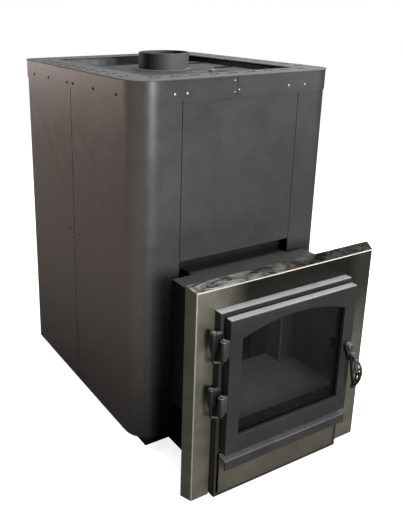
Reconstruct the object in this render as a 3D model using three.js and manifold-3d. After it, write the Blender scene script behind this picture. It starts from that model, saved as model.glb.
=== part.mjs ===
// A sauna stove that is fired through a wall: a riveted convector casing around a welded firebox, with a
// fuel tunnel, a stainless portal, a glazed cast door on link hinges and an ash drawer under it.
// Millimetres, +Z up, the door faces -Y. The origin is on the floor under the middle of the casing.
import * as THREE from 'three';
import { mergeVertices } from 'three/addons/utils/BufferGeometryUtils.js';
import Module from 'manifold-3d';

const wasm = await Module();
wasm.setup();

// ---------------------------------------------------------------------------------------------------
// Driving dimensions

const GAP = 0.3;             // clearance between faces that touch or are welded
const SHEET = 1.5;           // casing sheet

const casing = { halfWidth: 240, halfDepth: 277.5, bottom: 45, top: 793.7, frontRadius: 50, rearRadius: 22 };
casing.frontSeamX = 142;     // upright seams between the front panel and the corner panels
casing.sideSeamY = 9;        // upright seams in the sides
casing.backSeamX = 200;      // upright seams in the back
casing.mouthTop = 435;       // lower edge of the front panel, over the tunnel

const band = { bottom: 753.7, standoff: 0.3, lapX: -17 };
const rim = { bottom: 794, top: 796, overhang: 3.5, openingX: 180, openingFront: -217, openingRear: 225 };
const rimHole = { radius: 4.2, pairHalf: 6.6, pitchX: 45, pitchY: 47, sideX: 219, frontY: -240, rearY: 250 };

const base = { halfWidth: 198, front: -244, rear: 247, height: 48, wall: 3, floor: 4 };
const firebox = { halfWidth: 194.6, front: -240.6, rear: 152, top: 768, wall: 5 };
const hearth = 132;          // level of the tunnel floor and of the firebox floor
const floorPlate = { bottom: 124, grateX: [-70, 94], grateY: [-206, -84] };
const mouth = { x: [-63, 87], z: [hearth, 380] };
const brick = { thickness: 24, top: 420 };
const baffle = { front: -100, bottom: 600, thickness: 6 };
const topPlate = { halfWidth: 200, front: -244, rear: 156, bottom: 778.7, top: 780.7, lip: 10 };
const collar = { x: 0, y: 18, outer: 57.5, inner: 54.5, top: 820 };

const portalX = 12;          // middle of the tunnel and of the portal
const tunnel = { halfWidth: 126, top: 403, wall: 4, rear: firebox.front - 0.6 };
const portalBox = { halfWidth: 173, rear: -282, front: -430 };
const ashChannel = { halfWidth: 138, top: 127.7, wall: 3 };
const facing = { halfFront: 219, halfBack: 228, topFront: 443, topBack: 452, front: -433, back: -409.6, bottom: 1 };

const frame = { x: [-166, 160], z: [5, 402.4], front: -450, back: -430.3 };
frame.fireX = [-142, 150];
frame.fireZ = [147, 380];
frame.ashX = [-160, 154];
frame.ashZ = [10, 106];

const door = { x: [-159, 153.8], z: [112.3, 395.6], front: -471.5, back: -456 };
door.middle = (door.x[0] + door.x[1]) / 2;
const windowArch = { half: 127.5, bottom: 149, spring: 353, rise: 22 };
const glass = { lap: 6, front: -462.6, back: -458.8 };

const frameBarrel = { x: -185, y: -456, radius: 7, bottom: 337, top: 372 };
const doorKnuckle = { x: -171, y: -468, radius: 7.5, bottom: 320, top: 358 };
const lowerHingeDrop = 114.5;
const hingeBore = 3.4;
const linkRod = 2.9;
const linkCross = 313;

const latch = { x: 139, z: 266, spindle: 5, bore: 5.4, rear: -434, tongueReach: 17 };
const handle = { x: 145, spineY: -481, top: 250, bulgeY: -510, bulgeZ: 226, tip: 181, tipY: -493, rod: 3 };
const block = { x: [139, 151], y: [-488, -474], z: [236, 252] };

const drawer = { halfWidth: 129, rear: -70, bottom: 11, top: 78, wall: 2 };
drawer.face = { x: [-156.5, 150.5], z: [13, 103], front: -452, back: -448 };
drawer.lip = { x: [-158, 154], z: [79, 99.3], front: -471.5, thickness: 3 };

// ---------------------------------------------------------------------------------------------------
// Materials

const paint = (color, roughness, metalness) => new THREE.MeshStandardMaterial({ color, roughness, metalness });
const blackEnamel = paint(0x3c3e40, 0.55, 0.4);
const darkSteel = paint(0x232323, 0.7, 0.4);
const castIron = paint(0x2a2b2d, 0.6, 0.5);
const stainless = paint(0x8f8d82, 0.15, 1.0);
const galvanised = paint(0x8a8f93, 0.45, 0.8);
const fireclay = paint(0xb08d62, 0.9, 0.0);
const rope = paint(0x1c1c1c, 0.95, 0.0);
const plateGrey = paint(0x8d8780, 0.6, 0.3);
const clearGlass = new THREE.MeshStandardMaterial({ color: 0x222426, roughness: 0.05, transparent: true, opacity: 0.35 });

// ---------------------------------------------------------------------------------------------------
// Building blocks

function toSolid(geometry) {
  const bare = geometry.clone();
  bare.deleteAttribute('normal');
  bare.deleteAttribute('uv');
  const merged = mergeVertices(bare, 1e-4);
  const vertProperties = new Float32Array(merged.attributes.position.array);
  const triVerts = new Uint32Array(merged.index.array);
  return new wasm.Manifold(new wasm.Mesh({ numProp: 3, vertProperties, triVerts }));
}

function toGeometry(solid) {
  const mesh = solid.getMesh();
  const geometry = new THREE.BufferGeometry();
  geometry.setAttribute('position', new THREE.BufferAttribute(new Float32Array(mesh.vertProperties), 3));
  geometry.setIndex(new THREE.BufferAttribute(new Uint32Array(mesh.triVerts), 1));
  geometry.computeVertexNormals();
  return geometry;
}

function cut(geometry, ...tools) {
  return toGeometry(tools.reduce((solid, tool) => solid.subtract(toSolid(tool)), toSolid(geometry)));
}

function join(geometry, ...others) {
  return toGeometry(others.reduce((solid, other) => solid.add(toSolid(other)), toSolid(geometry)));
}

function box([x0, x1], [y0, y1], [z0, z1]) {
  const geometry = new THREE.BoxGeometry(x1 - x0, y1 - y0, z1 - z0);
  return geometry.translate((x0 + x1) / 2, (y0 + y1) / 2, (z0 + z1) / 2);
}

function wide(half, middle = 0) {
  return [middle - half, middle + half];
}

function shrink([low, high], by) {
  return [low + by, high - by];
}

// Points of an arc about (x, y), from one angle in degrees to another.
function arc(x, y, radius, from, to, steps = 8) {
  return Array.from({ length: steps + 1 }, (_, i) => {
    const angle = THREE.MathUtils.degToRad(from + (to - from) * i / steps);
    return new THREE.Vector2(x + radius * Math.cos(angle), y + radius * Math.sin(angle));
  });
}

function circle(x, y, radius, sides) {
  return arc(x, y, radius, 0, 360, sides).slice(0, sides);
}

function shapeWithHoles(outline, holes = []) {
  const shape = new THREE.Shape(outline);
  shape.holes = holes.map((points) => new THREE.Path(points));
  return shape;
}

// A plan outline (x, y) drawn up from one height to another.
function upright(shape, [z0, z1]) {
  return new THREE.ExtrudeGeometry(shape, { depth: z1 - z0, bevelEnabled: false }).translate(0, 0, z0);
}

// A front outline (x, z) drawn from its front face back.
function frontal(shape, [y0, y1]) {
  return new THREE.ExtrudeGeometry(shape, { depth: y1 - y0, bevelEnabled: false }).rotateX(Math.PI / 2).translate(0, y1, 0);
}

// A side outline (y, z) drawn along X.
function crosswise(shape, [x0, x1]) {
  const turn = new THREE.Matrix4().makeBasis(
    new THREE.Vector3(0, 1, 0), new THREE.Vector3(0, 0, 1), new THREE.Vector3(1, 0, 0));
  return new THREE.ExtrudeGeometry(shape, { depth: x1 - x0, bevelEnabled: false }).applyMatrix4(turn).translate(x0, 0, 0);
}

function postZ(x, y, radius, [z0, z1], sides = 12) {
  return new THREE.CylinderGeometry(radius, radius, z1 - z0, sides).rotateX(Math.PI / 2).translate(x, y, (z0 + z1) / 2);
}

function postY(x, z, radius, [y0, y1], sides = 16) {
  return new THREE.CylinderGeometry(radius, radius, y1 - y0, sides).translate(x, (y0 + y1) / 2, z);
}

function rod(start, end, radius, sides = 10) {
  const path = new THREE.LineCurve3(new THREE.Vector3(...start), new THREE.Vector3(...end));
  const section = new THREE.Shape(circle(0, 0, radius, sides));
  return new THREE.ExtrudeGeometry(section, { steps: 1, extrudePath: path, bevelEnabled: false });
}

// ---------------------------------------------------------------------------------------------------
// Casing: the plan outline is a rectangle with round corners, larger at the front

function frontCorner(side, grow) {
  const { halfWidth, halfDepth, frontRadius } = casing;
  const points = arc(halfWidth - frontRadius, frontRadius - halfDepth, frontRadius + grow, -90, 0);
  return points.map(({ x, y }) => new THREE.Vector2(side * x, y));
}

function rearCorner(side, grow) {
  const { halfWidth, halfDepth, rearRadius } = casing;
  const points = arc(halfWidth - rearRadius, halfDepth - rearRadius, rearRadius + grow, 0, 90, 5);
  return points.map(({ x, y }) => new THREE.Vector2(side * x, y));
}

// A bent sheet between two copies of one path, grown by different amounts.
function bentSheet(path, outer, inner, heights) {
  return upright(shapeWithHoles([...path(outer), ...path(inner).reverse()]), heights);
}

function frontCornerPanel(side) {
  const path = (grow) => [
    new THREE.Vector2(side * casing.frontSeamX, -casing.halfDepth - grow),
    ...frontCorner(side, grow),
    new THREE.Vector2(side * (casing.halfWidth + grow), casing.sideSeamY - 0.5),
  ];
  return bentSheet(path, 0, -SHEET, [casing.bottom, casing.top]);
}

function rearCornerPanel(side) {
  const path = (grow) => [
    new THREE.Vector2(side * (casing.halfWidth + grow), casing.sideSeamY + 0.5),
    ...rearCorner(side, grow),
    new THREE.Vector2(side * casing.backSeamX, casing.halfDepth + grow),
  ];
  return bentSheet(path, 0, -SHEET, [casing.bottom, casing.top]);
}

function bandHalf(side) {
  const path = (grow) => [
    new THREE.Vector2(band.lapX + side * GAP / 2, -casing.halfDepth - grow),
    ...frontCorner(side, grow),
    ...rearCorner(side, grow),
    new THREE.Vector2(side * GAP / 2, casing.halfDepth + grow),
  ];
  return bentSheet(path, band.standoff + SHEET, band.standoff, [band.bottom, casing.top]);
}

function rimHoles() {
  const steps = [-4, -3, -2, -1, 0, 1, 2, 3, 4];
  const centres = [
    ...steps.map((i) => [i * rimHole.pitchX, rimHole.frontY]),
    ...steps.map((i) => [i * rimHole.pitchX, rimHole.rearY]),
    ...steps.map((i) => [-rimHole.sideX, i * rimHole.pitchY]),
    ...steps.map((i) => [rimHole.sideX, i * rimHole.pitchY]),
  ];
  return centres.flatMap(([x, y]) => [-1, 1].map((s) => circle(x + s * rimHole.pairHalf, y, rimHole.radius, 8)));
}

function topRim() {
  const outline = [
    ...frontCorner(1, rim.overhang), ...rearCorner(1, rim.overhang),
    ...rearCorner(-1, rim.overhang).reverse(), ...frontCorner(-1, rim.overhang).reverse(),
  ];
  const { openingX, openingFront, openingRear } = rim;
  const opening = [[-openingX, openingFront], [openingX, openingFront], [openingX, openingRear], [-openingX, openingRear]];
  const holes = [opening.map(([x, y]) => new THREE.Vector2(x, y)), ...rimHoles()];
  return upright(shapeWithHoles(outline, holes), [rim.bottom, rim.top]);
}

function casingBackPanel() {
  const x = wide(casing.backSeamX - 1);
  return box(x, [casing.halfDepth - SHEET, casing.halfDepth], [casing.bottom, casing.top]);
}

function casingFrontPanel() {
  const x = wide(casing.frontSeamX - 1);
  return box(x, [-casing.halfDepth, SHEET - casing.halfDepth], [casing.mouthTop, casing.top]);
}

// ---------------------------------------------------------------------------------------------------
// Base, firebox and what it holds

function baseTray() {
  const { halfWidth, front, rear, height, wall, floor } = base;
  const block = box(wide(halfWidth), [front, rear], [0, height]);
  const inside = box(wide(halfWidth - wall), [front + wall, rear - wall], [floor, height + 1]);
  const drawerWay = box(wide(ashChannel.halfWidth - 4), [front - 1, front + wall + 1], [floor, height + 1]);
  return cut(block, inside, drawerWay);
}

function fireboxBody() {
  const { halfWidth, front, rear, top, wall } = firebox;
  const bottom = base.floor + GAP;
  const block = box(wide(halfWidth), [front, rear], [bottom, top]);
  const inside = box(wide(halfWidth - wall), [front + wall, rear - wall], [bottom - 1, top - wall]);
  const fuelMouth = box(mouth.x, [front - 1, front + wall + 1], mouth.z);
  const ashMouth = box(wide(ashChannel.halfWidth - 4), [front - 1, front + wall + 1], [bottom - 1, 120]);
  const flue = postZ(collar.x, collar.y, collar.inner, [top - wall - 1, top + 1], 24);
  return cut(block, inside, fuelMouth, ashMouth, flue);
}

function fireboxFloor() {
  const { halfWidth, front, rear, wall } = firebox;
  const x = wide(halfWidth - wall - GAP);
  const plate = box(x, [front + wall + GAP, rear - wall - GAP], [floorPlate.bottom, hearth]);
  return cut(plate, box(floorPlate.grateX, floorPlate.grateY, [floorPlate.bottom - 1, hearth + 1]));
}

function grate() {
  const x = shrink(floorPlate.grateX, 2);
  const y = shrink(floorPlate.grateY, 2);
  const slots = [];
  for (let left = x[0] + 10; left < x[1] - 12; left += 16) {
    slots.push(box([left, left + 8], shrink(y, 10), [floorPlate.bottom - 5, hearth + 1]));
  }
  return cut(box(x, y, [floorPlate.bottom - 2, hearth]), ...slots);
}

function sideBrick(side) {
  const inner = firebox.halfWidth - firebox.wall - GAP;
  const x = side > 0 ? [inner - brick.thickness, inner] : [-inner, brick.thickness - inner];
  return box(x, [firebox.front + 16, firebox.rear - firebox.wall - GAP], [hearth + GAP, brick.top]);
}

function rearBrick() {
  const inner = firebox.halfWidth - firebox.wall - brick.thickness - 2 * GAP;
  const rear = firebox.rear - firebox.wall - GAP;
  return box(wide(inner), [rear - brick.thickness, rear], [hearth + GAP, brick.top]);
}

function bafflePlate() {
  const x = wide(firebox.halfWidth - firebox.wall - GAP);
  const y = [baffle.front, firebox.rear - firebox.wall - GAP];
  return box(x, y, [baffle.bottom, baffle.bottom + baffle.thickness]);
}

function slot(x, y, length, width) {
  const run = (length - width) / 2;
  return upright(shapeWithHoles([
    ...arc(x + run, y, width / 2, -90, 90, 5), ...arc(x - run, y, width / 2, 90, 270, 5),
  ]), [topPlate.bottom - 1, topPlate.top + 1]);
}

function topPlateTray() {
  const { halfWidth, front, rear, bottom, top, lip } = topPlate;
  const tray = box(wide(halfWidth), [front, rear], [bottom - lip, top]);
  const inside = box(wide(halfWidth - 2), [front + 2, rear - 2], [bottom - lip - 1, bottom]);
  const flue = postZ(collar.x, collar.y, collar.outer + 0.5, [bottom - 1, top + 1], 24);
  const boltHole = postZ(63, -86, 4.6, [bottom - 1, top + 1]);
  const vents = [slot(158, 112, 46, 18), slot(152, -8, 46, 18), slot(92, -85, 28, 9),
    slot(-117, 78, 15, 9), slot(-142, -4, 15, 9), slot(-116, -30, 13, 9)];
  return cut(tray, inside, flue, boltHole, ...vents);
}

function topPlateBolt() {
  const shank = postZ(63, -86, 4, [firebox.top + GAP, topPlate.top + 2]);
  return join(shank, postZ(63, -86, 7, [topPlate.top + GAP, topPlate.top + 5.3], 6));
}

// A ring about Z; the profile runs up the outside and down the inside.
function ringZ(x, y, outer, inner, [z0, z1], sides) {
  const profile = [[inner, z0], [outer, z0], [outer, z1], [inner, z1], [inner, z0]];
  const points = profile.map(([r, z]) => new THREE.Vector2(r, z));
  return new THREE.LatheGeometry(points, sides).rotateX(Math.PI / 2).translate(x, y, 0);
}

// ---------------------------------------------------------------------------------------------------
// Tunnel, portal and ash channel

function fuelTunnel() {
  const { halfWidth, top, wall, rear } = tunnel;
  const y = [portalBox.rear + GAP, rear];
  const bottom = hearth - wall;
  const outer = box(wide(halfWidth, portalX), y, [bottom, top]);
  return cut(outer, box(wide(halfWidth - wall, portalX), [y[0] - 1, y[1] + 1], [hearth, top - wall]));
}

function portalBoxBody() {
  const { halfWidth, rear, front } = portalBox;
  const { wall, top } = tunnel;
  const outer = box(wide(halfWidth, portalX), [front, rear], [hearth - wall, top]);
  const inside = box(wide(halfWidth - wall, portalX), [front - 1, rear - wall], [hearth, top - wall]);
  const tunnelMouth = box(wide(tunnel.halfWidth - wall, portalX), [rear - wall - 1, rear + 1], [hearth, top - wall]);
  return cut(outer, inside, tunnelMouth);
}

function ashChannelBody() {
  const { halfWidth, top, wall } = ashChannel;
  const y = [portalBox.front, base.front - GAP];
  const inside = box(wide(halfWidth - wall), [y[0] - 1, y[1] + 1], [wall, top - wall]);
  return cut(box(wide(halfWidth), y, [0, top]), inside);
}

// A closed solid between an upright rectangle at one depth and another at a second depth.
function taper(front, back) {
  const corners = ({ x, y, z }) => [[x[0], y, z[0]], [x[1], y, z[0]], [x[1], y, z[1]], [x[0], y, z[1]]];
  const geometry = new THREE.BufferGeometry();
  const points = [...corners(front), ...corners(back)].flat();
  geometry.setAttribute('position', new THREE.BufferAttribute(new Float32Array(points), 3));
  geometry.setIndex([
    0, 1, 2, 0, 2, 3, 4, 6, 5, 4, 7, 6, 0, 5, 1, 0, 4, 5, 1, 6, 2, 1, 5, 6, 2, 7, 3, 2, 6, 7, 3, 4, 0, 3, 7, 4,
  ]);
  return geometry;
}

function portalFacing() {
  const { halfFront, halfBack, topFront, topBack, front, back, bottom } = facing;
  const outer = taper(
    { x: wide(halfFront, portalX), y: front, z: [bottom, topFront] },
    { x: wide(halfBack, portalX), y: back, z: [bottom, topBack] });
  const slope = (halfBack - halfFront) / (back - front);
  const grow = slope * (SHEET + 1);
  const inner = taper(
    { x: wide(halfFront - SHEET, portalX), y: front + SHEET, z: [bottom - 5, topFront - SHEET] },
    { x: wide(halfBack - SHEET + grow, portalX), y: back + SHEET + 1, z: [bottom - 5, topBack - SHEET + grow] });
  const opening = box([frame.x[0] - 0.4, frame.x[1] + 0.4], [front - 1, front + 5], [bottom - 5, frame.z[1] + 0.4]);
  return cut(outer, inner, opening);
}

function doorFrame() {
  const y = [frame.front, frame.back];
  const through = [frame.front - 1, frame.back + 1];
  const tonguePocket = box([frame.fireX[1] - 2, frame.x[1] - 2.5], [-443.5, -434.5], [latch.z - 20, latch.z + 10]);
  return cut(box(frame.x, y, frame.z), box(frame.fireX, through, frame.fireZ), box(frame.ashX, through, frame.ashZ), tonguePocket);
}

function sillPlate() {
  const y0 = frame.back + GAP;
  const outline = [[y0, hearth + GAP], [-409, hearth + GAP], [y0, frame.fireZ[0]]];
  return crosswise(shapeWithHoles(outline.map(([y, z]) => new THREE.Vector2(y, z))), frame.fireX);
}

// ---------------------------------------------------------------------------------------------------
// Door

// Outline of the arched window, grown or shrunk all round; the head is an arc of one centre.
function archOutline(grow, steps = 16) {
  const { half, bottom, spring, rise } = windowArch;
  const radius = (half * half + rise * rise) / (2 * rise);
  const centreZ = spring + rise - radius;
  const reach = half + grow;
  const angle = THREE.MathUtils.radToDeg(Math.asin(reach / (radius + grow)));
  return [
    new THREE.Vector2(door.middle - reach, bottom - grow),
    new THREE.Vector2(door.middle + reach, bottom - grow),
    ...arc(door.middle, centreZ, radius + grow, 90 - angle, 90 + angle, steps),
  ];
}

function archRing(outer, inner, depths) {
  return frontal(shapeWithHoles(archOutline(outer), [archOutline(inner)]), depths);
}

function doorCasting() {
  const slab = box(door.x, [door.front, door.back], door.z);
  const sight = frontal(shapeWithHoles(archOutline(0)), [door.front - 1, door.back + 1]);
  const rebate = frontal(shapeWithHoles(archOutline(glass.lap + 0.5)), [glass.front - 1.8, door.back + 1]);
  const spindleHole = postY(latch.x, latch.z, latch.bore, [door.front - 1, door.back + 1]);
  return cut(slab, sight, rebate, spindleHole);
}

function doorSeal() {
  const x = shrink(door.x, 1);
  const z = shrink(door.z, 1);
  const y = [door.back + GAP, frame.front - GAP];
  return cut(box(x, y, z), box(shrink(x, 5), [y[0] - 1, y[1] + 1], shrink(z, 5)));
}

function hingeEye({ x, y, radius, bottom, top }, drop, plateX, plateY) {
  const heights = [bottom - drop, top - drop];
  const plate = box(plateX, plateY, shrink(heights, 3));
  const bore = postZ(x, y, hingeBore, [heights[0] - 1, heights[1] + 1]);
  return cut(join(postZ(x, y, radius, heights, 16), plate), bore);
}

// A staple of round rod: one leg turns in the frame's eye, the other carries the door's eye.
function hingeLink(drop) {
  const cross = linkCross - drop;
  const leg = ({ x, y, top }, headRadius) => [
    postZ(x, y, linkRod, [cross - 1, top - drop + 2]),
    postZ(x, y, headRadius, [top - drop + GAP, top - drop + 3.3], 14),
  ];
  const ends = [frameBarrel, doorKnuckle].map(({ x, y }) => [x, y, cross]);
  const knees = ends.map(([x, y, z]) => new THREE.SphereGeometry(3.4, 12, 8).translate(x, y, z));
  return join(rod(ends[0], ends[1], 3), ...knees, ...leg(frameBarrel, 5.5), ...leg(doorKnuckle, 4.6));
}

function latchSpindle() {
  const shaft = postY(latch.x, latch.z, latch.spindle, [-483, latch.rear]);
  return join(shaft, postY(latch.x, latch.z, 8.5, [-486.5, -481.3]));
}

function latchLever() {
  const arm = [
    ...arc(latch.x, latch.z, 9.5, -15, 195, 10),
    new THREE.Vector2(block.x[0], block.z[0] + 8), new THREE.Vector2(block.x[1] - 1, block.z[0] + 8),
  ];
  const plate = frontal(shapeWithHoles(arm), [-481, -474]);
  const bore = postY(latch.x, latch.z, latch.spindle + GAP, [-482, -473]);
  return cut(join(plate, box(block.x, block.y, block.z)), bore);
}

function latchTongue() {
  const y = [-442, -436];
  const finger = box([latch.x - 4.5, latch.x + 4.5], y, [latch.z - latch.tongueReach, latch.z]);
  const bore = postY(latch.x, latch.z, latch.spindle + GAP, [y[0] - 1, y[1] + 1]);
  return cut(join(postY(latch.x, latch.z, 7, y), finger), bore);
}

// One bowed rod of the handle, from under the block out to the bulge and back to the tip.
function handleBow(lean) {
  const { x, top, bulgeY, bulgeZ, tip, tipY } = handle;
  const start = block.y[0] - 3;
  const path = new THREE.CatmullRomCurve3([
    new THREE.Vector3(x, start, top - 5),
    new THREE.Vector3(x + lean * 0.6, start - 10 + Math.abs(lean) * 0.3, top - 6),
    new THREE.Vector3(x + lean, bulgeY + Math.abs(lean) * 0.5, bulgeZ),
    new THREE.Vector3(x + lean * 0.8, bulgeY + 5 + Math.abs(lean) * 0.5, tip + 20),
    new THREE.Vector3(x, tipY, tip),
  ]);
  const section = new THREE.Shape(circle(0, 0, handle.rod, 6));
  return new THREE.ExtrudeGeometry(section, { steps: 14, extrudePath: path, bevelEnabled: false });
}

function latchHandle() {
  const { x, spineY, top, tip, tipY } = handle;
  const root = box([x - 4.5, x + 4.5], [block.y[0] - 6, block.y[0] - GAP], [top - 12, top]);
  const spine = rod([x, tipY, tip], [x, spineY, block.z[0] - 1.5], handle.rod, 8);
  const knob = new THREE.SphereGeometry(5, 10, 8).translate(x, tipY, tip);
  return join(knob, spine, root, handleBow(0), handleBow(9), handleBow(-9));
}

// ---------------------------------------------------------------------------------------------------
// Ash drawer

function drawerTray() {
  const { halfWidth, rear, bottom, top, wall, face } = drawer;
  const y = [face.back + GAP, rear];
  const inside = box(wide(halfWidth - wall), shrink(y, wall), [bottom + wall, top + 1]);
  return cut(box(wide(halfWidth), y, [bottom, top]), inside);
}

function drawerRunner(side) {
  const x = side > 0 ? [100, 116] : [-116, -100];
  return box(x, [portalBox.front + 5, base.front - 2], [ashChannel.wall + GAP, drawer.bottom - GAP]);
}

function drawerFace() {
  const { face } = drawer;
  return box(face.x, [face.front, face.back], face.z);
}

function drawerLip() {
  const { lip, face } = drawer;
  const ledge = box(lip.x, [lip.front, face.front - GAP], [lip.z[1] - lip.thickness, lip.z[1]]);
  return join(ledge, box(lip.x, [lip.front, lip.front + lip.thickness], lip.z));
}

// ---------------------------------------------------------------------------------------------------
// Assembly

const stove = new THREE.Group();

function add(name, geometry, material) {
  const mesh = new THREE.Mesh(geometry, material);
  mesh.name = name;
  stove.add(mesh);
}

const sides = [['left', -1], ['right', 1]];

add('base_tray', baseTray(), darkSteel);
add('firebox_body', fireboxBody(), darkSteel);
add('firebox_floor', fireboxFloor(), darkSteel);
add('grate', grate(), castIron);
add('firebrick_rear', rearBrick(), fireclay);
add('baffle_plate', bafflePlate(), darkSteel);
add('top_plate', topPlateTray(), plateGrey);
add('top_plate_bolt', topPlateBolt(), galvanised);
add('flue_collar', ringZ(collar.x, collar.y, collar.outer, collar.inner, [firebox.top + GAP, collar.top], 64), blackEnamel);

for (const [word, side] of sides) {
  add(`firebrick_${word}`, sideBrick(side), fireclay);
  add(`casing_front_${word}`, frontCornerPanel(side), blackEnamel);
  add(`casing_rear_${word}`, rearCornerPanel(side), blackEnamel);
  add(`drawer_runner_${word}`, drawerRunner(side), darkSteel);
  add(`top_band_${word}`, bandHalf(side), blackEnamel);
  const shieldX = side > 0 ? [218, 219] : [-219, -218];
  add(`side_shield_${word}`, box(shieldX, [-235, 240], [52, 786]), galvanised);
  for (const [place, y] of [['front', -150], ['rear', 150]]) {
    const reach = [base.halfWidth + GAP, casing.halfWidth - SHEET - GAP];
    const x = side > 0 ? reach : reach.map((value) => -value).reverse();
    add(`casing_stay_${place}_${word}`, box(x, [y - 10, y + 10], [casing.bottom, base.height]), darkSteel);
  }
}

add('casing_front_centre', casingFrontPanel(), blackEnamel);
add('casing_back', casingBackPanel(), blackEnamel);
add('rear_shield', box([-212, 212], [262, 263], [52, 790]), galvanised);
add('top_rim', topRim(), blackEnamel);

add('fuel_tunnel', fuelTunnel(), darkSteel);
add('portal_box', portalBoxBody(), darkSteel);
add('ash_channel', ashChannelBody(), darkSteel);
add('portal_facing', portalFacing(), stainless);
add('door_frame', doorFrame(), castIron);
add('sill_plate', sillPlate(), darkSteel);

for (const [word, drop] of [['upper', 0], ['lower', lowerHingeDrop]]) {
  const framePlate = [frameBarrel.x, frame.x[0] - GAP];
  const doorPlate = [doorKnuckle.x, door.x[0] - GAP];
  add(`frame_hinge_${word}`, hingeEye(frameBarrel, drop, framePlate, [-459, -449]), castIron);
  add(`door_hinge_${word}`, hingeEye(doorKnuckle, drop, doorPlate, [-472, -464]), castIron);
  add(`hinge_link_${word}`, hingeLink(drop), darkSteel);
}

add('door_casting', doorCasting(), castIron);
add('door_glass', frontal(shapeWithHoles(archOutline(glass.lap)), [glass.front, glass.back]), clearGlass);
add('glass_gasket', archRing(glass.lap, 1.2, [glass.front - 1.5, glass.front - GAP]), rope);
add('glass_retainer', archRing(glass.lap, -2, [glass.back + GAP, -455.7]), darkSteel);
add('door_seal', doorSeal(), rope);
add('latch_spindle', latchSpindle(), castIron);
add('latch_lever', latchLever(), castIron);
add('latch_tongue', latchTongue(), castIron);
add('latch_handle', latchHandle(), castIron);

add('ash_drawer_tray', drawerTray(), darkSteel);
add('ash_drawer_face', drawerFace(), castIron);
add('ash_drawer_lip', drawerLip(), castIron);

export default stove;
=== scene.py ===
import math

import bmesh
import bpy
from mathutils import Matrix, Vector, noise


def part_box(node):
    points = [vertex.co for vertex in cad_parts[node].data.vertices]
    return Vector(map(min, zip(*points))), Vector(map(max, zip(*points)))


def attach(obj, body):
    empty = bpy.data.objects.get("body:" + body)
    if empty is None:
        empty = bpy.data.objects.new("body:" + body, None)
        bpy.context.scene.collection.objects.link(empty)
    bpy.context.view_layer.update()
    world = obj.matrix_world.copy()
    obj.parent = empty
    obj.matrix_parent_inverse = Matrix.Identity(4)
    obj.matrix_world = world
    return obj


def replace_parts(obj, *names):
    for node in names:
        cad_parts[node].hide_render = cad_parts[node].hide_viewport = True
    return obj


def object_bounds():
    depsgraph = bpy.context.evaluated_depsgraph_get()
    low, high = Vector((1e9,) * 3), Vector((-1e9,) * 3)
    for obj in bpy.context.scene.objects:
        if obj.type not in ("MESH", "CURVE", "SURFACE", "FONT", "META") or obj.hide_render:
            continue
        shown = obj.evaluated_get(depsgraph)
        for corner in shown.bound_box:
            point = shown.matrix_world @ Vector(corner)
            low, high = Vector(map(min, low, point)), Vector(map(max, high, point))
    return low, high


# The looks of a through-wall sauna stove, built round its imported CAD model. Everything is in metres in
# the CAD's own frame: +Z up, the fuel door faces -Y, and the origin is on the floor.

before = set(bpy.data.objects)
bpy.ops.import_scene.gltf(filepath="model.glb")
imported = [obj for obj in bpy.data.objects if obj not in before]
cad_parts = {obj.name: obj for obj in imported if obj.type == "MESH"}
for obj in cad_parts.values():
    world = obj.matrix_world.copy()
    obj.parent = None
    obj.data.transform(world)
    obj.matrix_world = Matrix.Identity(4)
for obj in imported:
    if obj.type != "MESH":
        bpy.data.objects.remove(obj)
CAD_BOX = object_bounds()

MM = 0.001
SMOOTH = math.radians(38)


# ---- Mesh tools

def angles(start, end, steps):
    """Angles in radians from start to end degrees, both included."""
    return [math.radians(start + (end - start) * k / steps) for k in range(steps + 1)]


def mm(*sizes):
    """Millimetres in metres."""
    return tuple(size * MM for size in sizes)


def middle(low, high):
    """The point halfway between two corners."""
    return [(a + b) / 2 for a, b in zip(low, high)]


def finish_mesh(name, bm, body, material, smooth=SMOOTH):
    """Turns a bmesh into a named piece that rides on a CAD body."""
    bmesh.ops.remove_doubles(bm, verts=bm.verts, dist=1e-6)
    bmesh.ops.recalc_face_normals(bm, faces=bm.faces)
    mesh = bpy.data.meshes.new(name)
    bm.to_mesh(mesh)
    bm.free()
    mesh.polygons.foreach_set("use_smooth", [True] * len(mesh.polygons))
    mesh.set_sharp_from_angle(angle=smooth)
    piece = bpy.data.objects.new(name, mesh)
    bpy.context.scene.collection.objects.link(piece)
    mesh.materials.append(material)
    if body:
        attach(piece, body)
    return piece


def add_loft(bm, loops, ring=False, closed=True):
    """Skins equal loops of points. A ring joins the last loop to the first; otherwise the ends are capped."""
    rows = [[bm.verts.new(p) for p in loop] for loop in loops]
    count = len(rows[0])
    pairs = list(zip(rows, rows[1:]))
    if ring:
        pairs.append((rows[-1], rows[0]))
    for a, b in pairs:
        for i in range(count if closed else count - 1):
            j = (i + 1) % count
            bm.faces.new((a[i], a[j], b[j], b[i]))
    if not ring:
        bm.faces.new(list(reversed(rows[0])))
        bm.faces.new(rows[-1])
    elif not closed:
        bm.faces.new([row[0] for row in rows])
        bm.faces.new([row[-1] for row in reversed(rows)])


def add_lathe(bm, profile, segments, place=Matrix.Identity(4)):
    """Turns (radius, height) points about local Z.

    A profile that starts and ends at radius 0 gives a solid, since finish_mesh joins the points on the
    axis. Any other is joined end to end into a ring.
    """
    rows = [[place @ Vector((radius * math.cos(a), radius * math.sin(a), height))
             for a in angles(0, 360, segments)[:-1]] for radius, height in profile]
    add_loft(bm, rows, ring=profile[0][0] > 0)


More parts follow.
